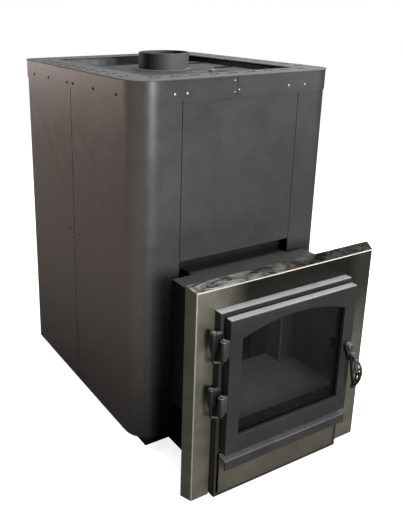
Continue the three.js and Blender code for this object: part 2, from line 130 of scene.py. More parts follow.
def add_sweep(bm, points, radius, sides=10, closed=False, squeeze=1.0):
    """A tube along points. radius is a number or a function of the point's index; squeeze flattens it."""
    points = [Vector(p) for p in points]
    count = len(points)
    turns = angles(0, 360, sides)[:-1]
    normal = None
    rows = []
    for i, point in enumerate(points):
        ahead = points[(i + 1) % count] if closed or i + 1 < count else point
        behind = points[i - 1] if closed or i > 0 else point
        tangent = (ahead - behind).normalized()
        if normal is None:
            seed = Vector((0, 0, 1)) if abs(tangent.z) < 0.9 else Vector((1, 0, 0))
            normal = tangent.cross(seed).normalized()
        normal = (normal - tangent * normal.dot(tangent)).normalized()
        other = tangent.cross(normal)
        r = radius(i) if callable(radius) else radius
        rows.append([point + r * (math.cos(a) * normal + squeeze * math.sin(a) * other) for a in turns])
    add_loft(bm, rows, ring=closed)


def add_box(bm, low, high, bevel=0.0, segments=2):
    """A box with rounded edges."""
    size = Vector(high) - Vector(low)
    place = Matrix.Translation(middle(low, high)) @ Matrix.Diagonal((*size, 1.0))
    corners = bmesh.ops.create_cube(bm, size=1, matrix=place)["verts"]
    if bevel:
        edges = list(dict.fromkeys(edge for corner in corners for edge in corner.link_edges))
        bmesh.ops.bevel(bm, geom=edges, offset=bevel, segments=segments, profile=0.6, affect="EDGES")


def round_corner(before, here, after, radius, steps):
    """Points on the curve that rounds off one corner of a path."""
    start = here + (before - here).normalized() * radius
    end = here + (after - here).normalized() * radius
    return [(1 - t) ** 2 * start + 2 * t * (1 - t) * here + t * t * end
            for t in (k / steps for k in range(steps + 1))]


def rounded(points, radius, steps=5):
    """A closed outline with round corners. A point is (x, y), or (x, y, False) where it stays plain."""
    corners = [Vector(point[:2]) for point in points]
    outline = []
    for i, here in enumerate(corners):
        if len(points[i]) == 3:
            outline.append(here)
        else:
            after = corners[(i + 1) % len(corners)]
            outline += round_corner(corners[i - 1], here, after, radius, steps)
    return outline


def rect(x0, x1, y0, y1):
    """A rectangle's corners."""
    return [(x0, y0), (x1, y0), (x1, y1), (x0, y1)]


def on_circle(x, y, radius, turns):
    """Points on a circle, one for each angle."""
    return [Vector((x + radius * math.cos(a), y + radius * math.sin(a))) for a in turns]


def circle(x, y, radius, steps=24):
    """A whole circle."""
    return on_circle(x, y, radius, angles(0, 360, steps)[:-1])


def corner_arc(x, y, radius, start):
    """A quarter of a circle that begins at start degrees."""
    return on_circle(x, y, radius, angles(start, start + 90, 20))


def stadium(x, y, length, width):
    """A slot's outline: two straight sides between two round ends."""
    right = on_circle(x + (length - width) / 2, y, width / 2, angles(-90, 90, 8))
    return right + [Vector((2 * x - p.x, 2 * y - p.y)) for p in right]


def at_height(outline, z):
    """The points of an outline in plan, at one height."""
    return [Vector((x, y, z)) for x, y in outline]


def at_depth(outline, y):
    """The points of an outline seen from the front, at one depth."""
    return [Vector((x, y, z)) for x, z in outline]


FLAT = Matrix.Identity(4)
FRONT = Matrix(((1, 0, 0, 0), (0, 0, -1, 0), (0, 1, 0, 0), (0, 0, 0, 1)))


def baked(item):
    """A new mesh of an object, with its curve or its modifiers worked out."""
    bpy.context.view_layer.update()
    return bpy.data.meshes.new_from_object(item.evaluated_get(bpy.context.evaluated_depsgraph_get()))


def add_plate(bm, loops, near, far, bevel, place=FLAT):
    """A sheet with holes and rounded edges, filled between its first loop and the others.

    It lies between two distances along the third axis of place: heights for FLAT, and minus Y for FRONT.
    """
    curve = bpy.data.curves.new("outline", "CURVE")
    curve.dimensions = "2D"
    curve.fill_mode = "BOTH"
    curve.bevel_depth = bevel
    curve.bevel_resolution = 2
    curve.offset = -bevel
    curve.extrude = (far - near) / 2 - bevel
    for loop in loops:
        spline = curve.splines.new("POLY")
        spline.points.add(len(loop) - 1)
        for point, (x, y) in zip(spline.points, loop):
            point.co = (x, y, 0, 1)
        spline.use_cyclic_u = True
    holder = bpy.data.objects.new("outline", curve)
    bpy.context.scene.collection.objects.link(holder)
    mesh = baked(holder)
    mesh.transform(place @ Matrix.Translation((0, 0, (near + far) / 2)))
    bm.from_mesh(mesh)
    bpy.data.objects.remove(holder)
    bpy.data.curves.remove(curve)
    bpy.data.meshes.remove(mesh)


def aim(point, direction):
    """The placement that puts local Z along a direction at a point."""
    turn = Vector((0, 0, 1)).rotation_difference(Vector(direction)).to_matrix().to_4x4()
    return Matrix.Translation(point) @ turn


# ---- Materials

class Nodes:
    """A material's node tree, with short calls for what the finishes share."""

    def __init__(self, name):
        self.material = bpy.data.materials.new(name)
        self.material.use_nodes = True
        self.tree = self.material.node_tree
        self.shader = self.tree.nodes["Principled BSDF"]
        self.coords = self.node("ShaderNodeTexCoord").outputs["Object"]

    def node(self, kind, **settings):
        made = self.tree.nodes.new(kind)
        for key, value in settings.items():
            if key in made.inputs:
                self.feed(made.inputs[key], value)
            else:
                setattr(made, key, value)
        return made

    def feed(self, socket, value):
        if isinstance(value, bpy.types.NodeSocket):
            self.tree.links.new(value, socket)
        else:
            socket.default_value = value

    def set(self, socket, value):
        self.feed(self.shader.inputs[socket], value)

    def stretched(self, scale):
        made = self.node("ShaderNodeMapping", Vector=self.coords)
        made.inputs["Scale"].default_value = scale
        return made.outputs["Vector"]

    def noise(self, scale, detail=3.0, rough=0.55, distortion=0.0, coords=None):
        made = self.node("ShaderNodeTexNoise", Vector=coords or self.coords, Scale=scale, Detail=detail,
                         Roughness=rough, Distortion=distortion)
        return made.outputs["Fac"]

    def spread(self, value, low, high, start=0.3, end=0.7, curve="LINEAR"):
        """Maps start..end to low..high."""
        made = self.node("ShaderNodeMapRange", Value=value, interpolation_type=curve)
        for key, number in (("From Min", start), ("From Max", end), ("To Min", low), ("To Max", high)):
            made.inputs[key].default_value = number
        return made.outputs["Result"]

    def ramp(self, value, start=0.3, end=0.7):
        """Maps start..end to 0..1."""
        return self.spread(value, 0.0, 1.0, start, end)

    def place(self, axis):
        """One coordinate of the surface, in the CAD's frame."""
        return self.node("ShaderNodeSeparateXYZ", Vector=self.coords).outputs[axis]

    def height(self, low, high, at_low, at_high):
        """A number that changes smoothly with height."""
        return self.spread(self.place("Z"), at_low, at_high, low, high, "SMOOTHSTEP")

    def math(self, operation, first, *rest):
        """Joins numbers by one operation, from left to right."""
        for value in rest:
            made = self.node("ShaderNodeMath", operation=operation)
            self.feed(made.inputs[0], first)
            self.feed(made.inputs[1], value)
            first = made.outputs[0]
        return first

    def times(self, *values):
        return self.math("MULTIPLY", *values)

    def plus(self, *values):
        return self.math("ADD", *values)

    def mix(self, factor, a, b):
        made = self.node("ShaderNodeMix", data_type="RGBA")
        self.feed(made.inputs["Factor"], factor)
        for socket, value in ((made.inputs[6], a), (made.inputs[7], b)):
            self.feed(socket, (*value, 1.0) if isinstance(value, tuple) and len(value) == 3 else value)
        return made.outputs[2]

    def shade(self, colour, factor):
        """A colour made lighter or darker by a number."""
        made = self.node("ShaderNodeVectorMath", operation="SCALE")
        self.feed(made.inputs[0], colour)
        self.feed(made.inputs["Scale"], factor)
        return made.outputs[0]

    def normal(self, axis):
        """One component of the surface's own direction."""
        direction = self.node("ShaderNodeTexCoord").outputs["Normal"]
        return self.node("ShaderNodeSeparateXYZ", Vector=direction).outputs[axis]

    def upward(self, amount):
        """A number that grows where the surface faces up, broken by noise: a dusting and painted light from
        above.
        """
        return self.times(self.ramp(self.normal("Z"), 0.35, 0.95),
                          self.spread(self.noise(35.0, 5.0), 0.8 * amount, amount))

    def sideways(self):
        """A number that is 1 where the surface faces left or right and 0 where it faces front or back."""
        return self.ramp(self.math("ABSOLUTE", self.normal("X"), 0.0), 0.55, 0.98)

    def leftward(self, at_left):
        """A number that falls from 1 to at_left as the surface turns to the left."""
        return self.spread(self.normal("X"), at_left, 1.0, -0.95, -0.25)

    def bump(self, *layers):
        """Bump from (height, strength, distance) layers, one on top of the other."""
        normal = None
        for height, strength, distance in layers:
            made = self.node("ShaderNodeBump", Height=height, Strength=strength, Distance=distance)
            if normal:
                self.feed(made.inputs["Normal"], normal)
            normal = made.outputs["Normal"]
        self.set("Normal", normal)

    def finish(self, colour, rough, metallic=0.0, specular=0.5):
        """Sets what every finish states, and gives the material."""
        for socket, value in (("Base Color", colour), ("Roughness", rough), ("Metallic", metallic),
                              ("Specular IOR Level", specular)):
            self.set(socket, value)
        return self.material


def grey(value):
    """A colour without a hue."""
    return (value, value, value)


# Grey for up-facing faces: dust, and painted light from above.
DUST_AND_TOP_LIGHT = (0.66, 0.68, 0.70)
RUBBED = (0.34, 0.33, 0.32)
PAINTED_AMBER_REFLECTION = (0.34, 0.16, 0.07)
PAINTED_BEND_HIGHLIGHT = (0.95, 0.94, 0.90)


def enamel(name, light, dark, rough, low_shade=1.0, specular=0.4, grain=0.35, scuffs=0.10, dust_and_top_light=0.0,
           painted_side_reflection=None, left_shade=1.0):
    """Sprayed heat-proof paint: clouded colour, fine orange peel, faint rubbed marks."""
    n = Nodes(name)
    colour = n.mix(n.ramp(n.noise(3.2, 4.0)), dark, light)
    marks = n.noise(11.0, 9.0, 0.62, 1.4, n.stretched((1.0, 1.0, 0.35)))
    colour = n.mix(n.spread(marks, 0.0, scuffs, 0.63, 0.70), colour, RUBBED)
    # Up-facing faces made lighter: dust, and painted light from above.
    if dust_and_top_light:
        colour = n.mix(n.upward(dust_and_top_light), colour, DUST_AND_TOP_LIGHT)
    # Faces turned to the sides take a warm colour: a painted warm reflection.
    if painted_side_reflection:
        colour = n.mix(n.sideways(), colour, painted_side_reflection)
    # Fine speckle of the paint, times a darkening towards the bottom (low_shade) and on faces turned to the
    # left (left_shade): painted shade.
    shade = n.times(n.spread(n.noise(420.0, 2.0), 0.82, 1.18), n.height(0.0, 0.45, low_shade, 1.0))
    if left_shade < 1:
        shade = n.times(shade, n.leftward(left_shade))
    gloss = n.plus(n.spread(n.noise(26.0, 5.0), rough - 0.05, rough + 0.07),
                   n.height(0.05, 0.60, -0.08, 0.0))
    if painted_side_reflection:
        gloss = n.plus(gloss, n.spread(n.sideways(), 0.0, 0.12, 0.0, 1.0))
    n.bump((n.noise(700.0, 2.0), grain, 0.05 * MM), (n.noise(9.0, 2.0), 0.25, 0.8 * MM))
    return n.finish(n.shade(colour, shade), gloss, specular=specular)


def cast_iron(name, light, dark, rough, grain=0.5, dust_and_top_light=0.0, dust_and_top_light_from=0.0):
    """Enamelled casting: a pebbled skin with soft patches of gloss, and above a height a dusting and painted
    top light on up-facing faces.
    """
    n = Nodes(name)
    colour = n.mix(n.ramp(n.noise(14.0, 5.0)), dark, light)
    # Up-facing faces above a height made lighter: dust, and painted light from above.
    if dust_and_top_light:
        dust_and_top_light_mask = n.times(n.upward(dust_and_top_light), n.height(dust_and_top_light_from, dust_and_top_light_from + 0.01, 0.0, 1.0))
        colour = n.mix(dust_and_top_light_mask, colour, DUST_AND_TOP_LIGHT)
    # Fine speckle of the casting, times a darkening on faces turned to the left: painted shade.
    shade = n.times(n.spread(n.noise(650.0, 2.0), 0.80, 1.20), n.leftward(0.05))
    gloss = n.plus(n.spread(n.noise(40.0, 4.0), rough - 0.06, rough + 0.08),
                   n.spread(n.leftward(0.0), 0.35, 0.0, 0.0, 1.0))
    pebbles = n.node("ShaderNodeTexVoronoi", Vector=n.coords, Scale=520.0, feature="SMOOTH_F1")
    n.bump((n.noise(900.0, 3.0), grain, 0.06 * MM), (pebbles.outputs["Distance"], 0.3 * grain, 0.10 * MM))
    return n.finish(n.shade(colour, shade), gloss, specular=0.45)


def polished_steel(name, light, dark, painted_bend_highlights=False):
    """Mirror-polished sheet: rolling lines, slight waves, smears, and a painted dark reflection above the
    door.
    """
    n = Nodes(name)
    lines = n.noise(30.0, 6.0, 0.6, 0.0, n.stretched((1.0, 1.0, 40.0)))
    smears = n.noise(7.0, 6.0, 0.6, 1.2)
    x = n.place("X")
    # A dark patch above the door and to its right: a painted reflection.
    painted_dark_reflection = n.times(n.ramp(x, -0.17, -0.09), n.height(0.20, 0.38, 0.0, 1.0),
                        n.spread(x, 1.0, 0.76, 0.165, 0.205))
    lines_and_painted_reflection = n.times(n.spread(lines, 0.95, 1.05), n.spread(painted_dark_reflection, 1.0, 0.10, 0.0, 1.0))
    colour = n.shade(n.mix(n.ramp(smears, 0.35, 0.65), dark, light), lines_and_painted_reflection)
    up = n.ramp(n.normal("Z"), 0.35, 0.85)
    # The top fold takes dark and light streaks with amber bits, fading from left to right: a painted
    # reflection. Faces turned to the left are darkened: painted shade.
    streaks = n.noise(13.0, 8.0, 0.7, 2.2, n.stretched((1.0, 3.0, 3.0)))
    painted_fold_reflection = n.mix(n.ramp(streaks, 0.42, 0.60), (0.05, 0.05, 0.045), (0.60, 0.63, 0.56))
    painted_fold_reflection = n.mix(n.spread(n.noise(26.0, 3.0, 0.5, 1.0), 0.0, 0.9, 0.56, 0.62), painted_fold_reflection, PAINTED_AMBER_REFLECTION)
    painted_fold_reflection = n.shade(painted_fold_reflection, n.spread(x, 1.3, 0.35, -0.16, 0.06))
    colour = n.mix(up, n.shade(colour, n.leftward(0.6)), painted_fold_reflection)
    # Near-white along the side and top bends: painted highlights.
    if painted_bend_highlights:
        across = n.times(n.normal("X"), -1.0)
        painted_side_highlight = n.times(n.ramp(across, 0.10, 0.35), n.spread(across, 1.0, 0.0, 0.65, 0.90), 0.6)
        painted_top_highlight = n.times(n.ramp(n.normal("Z"), 0.05, 0.25), n.spread(n.normal("Z"), 1.0, 0.0, 0.75, 0.90))
        colour = n.mix(n.math("MAXIMUM", painted_side_highlight, painted_top_highlight), colour, PAINTED_BEND_HIGHLIGHT)
    gloss = n.plus(n.spread(smears, 0.0, 0.10, 0.35, 0.75), n.spread(lines, 0.0, 0.03),
                   n.spread(up, 0.34, 0.10, 0.0, 1.0))
    n.bump((n.noise(16.0, 2.0, 0.5, 1.0), 0.35, 1.0 * MM), (lines, 0.02, 0.02 * MM))
    return n.finish(colour, gloss, 0.85)


def zinc(name, light, dark, rough):
    """Galvanised sheet: crystal spangle and dull streaks."""
    n = Nodes(name)
    crystals = n.node("ShaderNodeTexVoronoi", Vector=n.coords, Scale=95.0).outputs["Color"]
    spangle = n.node("ShaderNodeSeparateColor", Color=crystals).outputs[0]
    streaks = n.noise(22.0, 6.0, 0.65, 0.6, n.stretched((1.0, 1.0, 6.0)))
    n.bump((streaks, 0.25, 0.15 * MM))
    return n.finish(n.mix(n.plus(n.times(spangle, 0.5), n.spread(streaks, 0.0, 0.5)), dark, light),
                    n.spread(spangle, rough - 0.08, rough + 0.10, 0.0, 1.0), 0.75)


def firebrick(name):
    """Pressed fireclay: sandy grain, pores and patches of soot."""
    n = Nodes(name)
    colour = n.mix(n.ramp(n.noise(30.0, 6.0)), (0.20, 0.155, 0.11), (0.34, 0.27, 0.19))
    colour = n.mix(n.spread(n.noise(8.0, 5.0), 0.15, 0.75), colour, (0.05, 0.045, 0.04))
    pores = n.node("ShaderNodeTexVoronoi", Vector=n.coords, Scale=240.0).outputs["Distance"]
    n.bump((pores, 0.6, 0.6 * MM), (n.noise(60.0, 5.0), 0.5, 0.8 * MM))
    return n.finish(n.shade(colour, n.spread(n.noise(380.0, 2.0), 0.75, 1.2)), 0.93)


def glass_fibre(name):
    """Braided rope: crossed diagonal strands."""
    n = Nodes(name)
    strands = [n.node("ShaderNodeTexWave", Vector=way, Scale=130.0, bands_direction="DIAGONAL").outputs["Fac"]
               for way in (n.coords, n.stretched((-1.0, 1.0, 1.0)))]
    braid = n.math("MAXIMUM", *strands)
    n.bump((braid, 0.8, 0.5 * MM))
    return n.finish(n.mix(braid, grey(0.006), (0.035, 0.034, 0.033)), 0.92)


def fire_glass(name):
    """Thin smoky glass-ceramic with an uneven film of soot."""
    n = Nodes(name)
    film = n.noise(9.0, 6.0, 0.6, 0.8)
    n.set("Alpha", n.spread(film, 0.26, 0.34))
    n.material.surface_render_method = "BLENDED"
    return n.finish(n.mix(n.ramp(film), grey(0.003), (0.010, 0.010, 0.009)), n.spread(film, 0.02, 0.06),
                    specular=0.2)


def weld_metal(name):
    """A painted weld bead: rippled, darker in the folds."""
    n = Nodes(name)
    ripple = n.noise(260.0, 4.0)
    n.bump((ripple, 0.6, 0.5 * MM))
    return n.finish(n.mix(n.ramp(ripple), (0.05, 0.05, 0.052), (0.16, 0.16, 0.162)), 0.5, 0.3)


CASING = enamel("casing_enamel", (0.053, 0.054, 0.057), (0.036, 0.037, 0.040), 0.33, low_shade=0.10,
                specular=0.8, painted_side_reflection=(0.092, 0.073, 0.064), scuffs=0.04)
TOP_PAINT = enamel("top_plate_paint", (0.085, 0.084, 0.083), (0.060, 0.060, 0.059), 0.62, grain=0.5,
                   scuffs=0.12, specular=0.06)
# Near-black for faces in shade: inside the casing, in the rim's holes and in the plate's slots. Painted
# shade.
PAINTED_SHADE_BLACK = enamel("painted_shade_black", grey(0.006), grey(0.004), 0.8, specular=0.1, scuffs=0.0)
RIM_PAINT = enamel("top_rim_paint", (0.135, 0.134, 0.132), (0.095, 0.094, 0.093), 0.62, scuffs=0.30,
                   specular=0.10)
COLLAR_PAINT = enamel("flue_collar_paint", (0.105, 0.109, 0.112), (0.075, 0.078, 0.081), 0.55,
                      specular=0.05, left_shade=0.05)
BLACK_STEEL = enamel("black_steel_paint", grey(0.026), grey(0.016), 0.52, low_shade=0.3, scuffs=0.05,
                     dust_and_top_light=0.06, left_shade=0.25)
LINER = enamel("inner_steel_paint", (0.070, 0.068, 0.062), (0.040, 0.039, 0.036), 0.70, specular=0.2,
               scuffs=0.3, dust_and_top_light=0.15)
DOOR_IRON = cast_iron("door_cast_iron", (0.026, 0.0255, 0.024), (0.018, 0.0175, 0.016), 0.38,
                      dust_and_top_light=0.48, dust_and_top_light_from=0.36)
LIP_IRON = cast_iron("lip_steel", (0.034, 0.033, 0.031), (0.024, 0.023, 0.021), 0.36, dust_and_top_light=0.25)
FITTING_IRON = cast_iron("fitting_cast_iron", grey(0.050), grey(0.026), 0.36, 0.7, dust_and_top_light=0.2)
HINGE_IRON = cast_iron("hinge_black_iron", grey(0.010), grey(0.005), 0.36, 0.7, dust_and_top_light=0.18)
GRATE_IRON = cast_iron("grate_cast_iron", (0.030, 0.028, 0.026), (0.016, 0.015, 0.014), 0.62, 1.0)
STAINLESS = polished_steel("polished_stainless", (0.33, 0.319, 0.252), (0.245, 0.237, 0.184),
                           painted_bend_highlights=True)
DRAWER_STEEL = polished_steel("drawer_satin_steel", (0.26, 0.235, 0.185), (0.20, 0.180, 0.140))
ZINC = zinc("galvanised_steel", (0.42, 0.42, 0.43), (0.20, 0.20, 0.21), 0.45)
SMOKED_ZINC = zinc("smoked_galvanised_steel", (0.050, 0.048, 0.046), (0.020, 0.019, 0.018), 0.62)
DULL_ZINC = zinc("dull_galvanised_steel", (0.27, 0.28, 0.29), (0.12, 0.125, 0.13), 0.55)
BRIGHT_ZINC = zinc("zinc_rivet", grey(0.50), (0.36, 0.36, 0.37), 0.34)
BRICK = firebrick("fireclay")
ROPE = glass_fibre("glass_fibre_rope")
GLASS = fire_glass("fire_glass")
WELD = weld_metal("weld_bead")


# ---- CAD nodes that stay, with their finishes

def keep(names, material, bevel=0.0):
    """Gives CAD nodes a finish and, where a bevel is stated, soft edges."""
    for name in names:
        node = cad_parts[name]
        node.data.materials.clear()
        node.data.materials.append(material)
        if bevel:
            soften = node.modifiers.new("soft_edges", "BEVEL")
            soften.width = bevel
            soften.segments = 2
            soften.limit_method = "ANGLE"
            soften.angle_limit = math.radians(40)


def both(stem):
    """The names of a left and right pair."""
    return [stem + "_left", stem + "_right"]


keep(["casing_front_centre", "casing_back"], CASING)
keep(both("side_shield"), SMOKED_ZINC)
keep(["rear_shield"], DULL_ZINC)
keep(["base_tray", "firebox_body", "firebox_floor", "baffle_plate", "ash_channel", "ash_drawer_tray"]
     + both("drawer_runner") + both("casing_stay_front") + both("casing_stay_rear"), BLACK_STEEL)
keep(["fuel_tunnel", "portal_box"], BLACK_STEEL, 0.8 * MM)
keep(["sill_plate"], LINER)
keep(["glass_retainer"], BLACK_STEEL)
keep(["grate"], GRATE_IRON, 1.0 * MM)
keep(["firebrick_left", "firebrick_right", "firebrick_rear"], BRICK, 2.0 * MM)
keep(["door_glass"], GLASS)


# ---- Casing: bent panels and the band round the top

HALF_WIDTH, HALF_DEPTH = (-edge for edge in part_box("casing_front_left")[0][:2])
FRONT_RADIUS = 50 * MM
REAR_RADIUS = 22 * MM
CASING_SHEET = 1.5 * MM
BAND_OUT = 1.8 * MM
BAND_LAP_X = -17 * MM
BAND_BACK_X = 0.15 * MM
SEAM = 0.6 * MM


def plan(side, parts, grow):
    """Part of the casing's outline in plan, grown outwards.

    A part is a corner's name, or a point with the direction it grows in.
    """
    path = []
    for part in parts:
        if part == "front corner":
            path += corner_arc(HALF_WIDTH - FRONT_RADIUS, FRONT_RADIUS - HALF_DEPTH, FRONT_RADIUS + grow, -90)
        elif part == "rear corner":
            path += corner_arc(HALF_WIDTH - REAR_RADIUS, HALF_DEPTH - REAR_RADIUS, REAR_RADIUS + grow, 0)
        else:
            point, outwards = part
            path.append(Vector(point) + Vector(outwards) * grow)
    return [Vector((side * p.x, p.y)) for p in path]


def inwards_at(point):
    """The direction from a point of the casing's wall to the inside."""
    wall_x = abs(point.x) > HALF_WIDTH - REAR_RADIUS
    wall_y = abs(point.y) > HALF_DEPTH - REAR_RADIUS
    return Vector((-math.copysign(wall_x, point.x), -math.copysign(wall_y, point.y), 0)).normalized()


def bent_sheet(name, side, parts, offset, node):
    """A sheet bent along the plan outline, as tall as the CAD node it stands for."""
    low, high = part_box(node)
    outline = plan(side, parts, offset) + plan(side, parts, offset - CASING_SHEET)[::-1]
    bm = bmesh.new()
    add_loft(bm, [at_height(outline, z) for z in (low[2], high[2])])
    piece = finish_mesh(name, bm, "stove", CASING)
    # Faces that look into the casing take the near-black: painted shade.
    piece.data.materials.append(PAINTED_SHADE_BLACK)
    for face in piece.data.polygons:
        if abs(face.normal.z) < 0.5 and face.normal.dot(inwards_at(face.center)) > 0.3:
            face.material_index = 1
    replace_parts(piece, node)


FRONTWARDS, SIDEWAYS, BACKWARDS = (0, -1), (1, 0), (0, 1)
for word, side in (("left", -1), ("right", 1)):
    corner_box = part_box("casing_front_" + word)
    rear_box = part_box("casing_rear_" + word)
    front_seam = min(abs(corner_box[0][0]), abs(corner_box[1][0])) + SEAM
    back_seam = min(abs(rear_box[0][0]), abs(rear_box[1][0]))
    corner = [((front_seam, -HALF_DEPTH), FRONTWARDS), "front corner",
              ((HALF_WIDTH, corner_box[1][1] - SEAM), SIDEWAYS)]
    rear = [((HALF_WIDTH, rear_box[0][1] + SEAM), SIDEWAYS), "rear corner",
            ((back_seam, HALF_DEPTH), BACKWARDS)]
    band = [((side * BAND_LAP_X + SEAM, -HALF_DEPTH), FRONTWARDS), "front corner", "rear corner",
            ((BAND_BACK_X, HALF_DEPTH), BACKWARDS)]
    bent_sheet("corner_panel_" + word, side, corner, 0, "casing_front_" + word)
    bent_sheet("rear_panel_" + word, side, rear, 0, "casing_rear_" + word)
    bent_sheet("band_" + word, side, band, BAND_OUT, "top_band_" + word)


# ---- Top: rim with paired holes, plate with slots, collar with its weld

RIM_LOW, RIM_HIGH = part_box("top_rim")
RIM_FRONT_RADIUS = 53.5 * MM
RIM_REAR_RADIUS = 25.5 * MM
RIM_OPENING = rect(*mm(-180, 180, -217, 225))
HOLE_RADIUS = 5.2 * MM
HOLE_REACH = 6.6 * MM
HOLE_STEPS = range(-4, 5)
PAIRS = [(x * 45 * MM, y) for y in (-240 * MM, 250 * MM) for x in HOLE_STEPS]
PAIRS += [(x, y * 47 * MM) for x in (-219 * MM, 219 * MM) for y in HOLE_STEPS]
HOLES = [(x + side * HOLE_REACH, y) for x, y in PAIRS for side in (-1, 1)]

rim_outline = []
for radius, turn, right, rear in ((RIM_FRONT_RADIUS, -90, 1, 0), (RIM_REAR_RADIUS, 0, 1, 1),
                                  (RIM_REAR_RADIUS, 90, 0, 1), (RIM_FRONT_RADIUS, 180, 0, 0)):
    x = RIM_HIGH[0] - radius if right else RIM_LOW[0] + radius
    y = RIM_HIGH[1] - radius if rear else RIM_LOW[1] + radius
    rim_outline += corner_arc(x, y, radius, turn)
bm = bmesh.new()
add_plate(bm, [rim_outline, rounded(RIM_OPENING, 4 * MM)] + [circle(x, y, HOLE_RADIUS) for x, y in HOLES],
          RIM_LOW[2], RIM_HIGH[2], 0.3 * MM)
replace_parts(finish_mesh("rim_plate", bm, "stove", RIM_PAINT), "top_rim")

# Thin near-black tubes that line the holes and reach below the rim: painted shadow in the holes.
hole_shadow_tube = rect(HOLE_RADIUS - 0.35 * MM, HOLE_RADIUS - 0.05 * MM, RIM_LOW[2] - 2.5 * MM, RIM_HIGH[2] - 0.1 * MM)
bm = bmesh.new()
for x, y in HOLES:
    add_lathe(bm, hole_shadow_tube, 20, Matrix.Translation((x, y, 0)))
finish_mesh("rim_hole_shadows", bm, "stove", PAINTED_SHADE_BLACK)

PLATE_LOW, PLATE_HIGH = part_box("top_plate")
PLATE_TOP = PLATE_HIGH[2]
PLATE_SHEET = 2 * MM
COLLAR_LOW, COLLAR_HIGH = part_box("flue_collar")
COLLAR_X, COLLAR_Y, _ = middle(COLLAR_LOW, COLLAR_HIGH)
COLLAR_RADIUS = (COLLAR_HIGH[0] - COLLAR_LOW[0]) / 2
COLLAR_WALL = 3 * MM
COLLAR_EDGE = 1.2 * MM
BOLT_LOW, BOLT_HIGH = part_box("top_plate_bolt")
BOLT_X, BOLT_Y, _ = middle(BOLT_LOW, BOLT_HIGH)
# The middle, length and width of each slot.
SLOTS = [mm(*slot) for slot in (
    (152, 112, 52, 30), (152, -8, 54, 30), (92, -85, 28, 9), (-117, 78, 15, 9), (-142, -4, 15, 9),
    (-116, -30, 13, 9))]

openings = [stadium(*slot) for slot in SLOTS]
openings.append(circle(COLLAR_X, COLLAR_Y, COLLAR_RADIUS + 0.5 * MM, 64))
openings.append(circle(BOLT_X, BOLT_Y, 4.6 * MM))
(x0, y0), (x1, y1) = PLATE_LOW[:2], PLATE_HIGH[:2]
bm = bmesh.new()
add_plate(bm, [rounded(rect(x0, x1, y0, y1), 3 * MM)] + openings,
          PLATE_TOP - PLATE_SHEET, PLATE_TOP, 0.4 * MM)
for low, high in (((x0, y0), (x0 + PLATE_SHEET, y1)), ((x1 - PLATE_SHEET, y0), (x1, y1)),
                  ((x0, y0), (x1, y0 + PLATE_SHEET)), ((x0, y1 - PLATE_SHEET), (x1, y1))):
    add_box(bm, (*low, PLATE_LOW[2]), (*high, PLATE_TOP - 1 * MM), 0.4 * MM)
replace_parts(finish_mesh("cover_plate", bm, "stove", TOP_PAINT), "top_plate")

# Near-black rings that line the slots' walls: painted shadow in the slots.
bm = bmesh.new()
low_z, high_z = PLATE_TOP - 2.5 * MM, PLATE_TOP - 0.05 * MM
for x, y, length, width in SLOTS:
    wide, narrow = (stadium(x, y, length - less, width - less) for less in (0.2 * MM, 1.0 * MM))
    section = ((narrow, low_z), (wide, low_z), (wide, high_z), (narrow, high_z))
    add_loft(bm, [at_height(outline, z) for outline, z in section], ring=True)
finish_mesh("slot_shadows", bm, "stove", PAINTED_SHADE_BLACK)

inner = COLLAR_RADIUS - COLLAR_WALL
shoulder = COLLAR_HIGH[2] - COLLAR_EDGE
profile = [(inner, COLLAR_LOW[2]), (COLLAR_RADIUS, COLLAR_LOW[2]), (COLLAR_RADIUS, shoulder)]
profile += on_circle(COLLAR_RADIUS - COLLAR_EDGE, shoulder, COLLAR_EDGE, angles(22.5, 90, 3))
profile += on_circle(inner + COLLAR_EDGE, shoulder, COLLAR_EDGE, angles(112.5, 180, 3))
bm = bmesh.new()
add_lathe(bm, profile, 96, Matrix.Translation((COLLAR_X, COLLAR_Y, 0)))
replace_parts(finish_mesh("flue_pipe", bm, "stove", COLLAR_PAINT), "flue_collar")


def bead_radius(size, pitch, step):
    """A weld bead's radius along its run: overlapping ripples of slightly uneven size."""
    def at(i):
        ripple = abs(math.sin(math.pi * i * step / pitch))
        return size * (0.78 + 0.30 * ripple + 0.16 * noise.noise(Vector((i * 0.31, size * 900, 2.0))))
    return at


def add_bead(bm, start, end, size, pitch=4 * MM):
    """A straight weld bead that wanders a little."""
    start, end = Vector(start), Vector(end)
    step = pitch / 5
    count = max(6, int((end - start).length / step))
    points = [start.lerp(end, i / count)
              + Vector(noise.noise_vector(Vector((i * 0.13, start.x * 50, start.y * 50)))) * size * 0.25
              for i in range(count + 1)]
    add_sweep(bm, points, bead_radius(size, pitch, step), 8)


FOOT_STEPS = 420
foot = on_circle(COLLAR_X, COLLAR_Y, COLLAR_RADIUS + 0.9 * MM, angles(0, 360, FOOT_STEPS)[:-1])
ripples = bead_radius(2.7 * MM, 4.2 * MM, 2 * math.pi * COLLAR_RADIUS / FOOT_STEPS)
bm = bmesh.new()
add_sweep(bm, at_height(foot, PLATE_TOP + 1.0 * MM), ripples, 8, closed=True)
finish_mesh("collar_weld", bm, "stove", WELD)

bm = bmesh.new()
top_z = PLATE_TOP + 0.3 * MM
add_bead(bm, (18 * MM, -70 * MM, top_z), (76 * MM, -84 * MM, top_z), 2.2 * MM)
add_bead(bm, (-104 * MM, 96 * MM, top_z), (-62 * MM, 40 * MM, top_z), 1.8 * MM)
finish_mesh("plate_welds", bm, "stove", WELD)

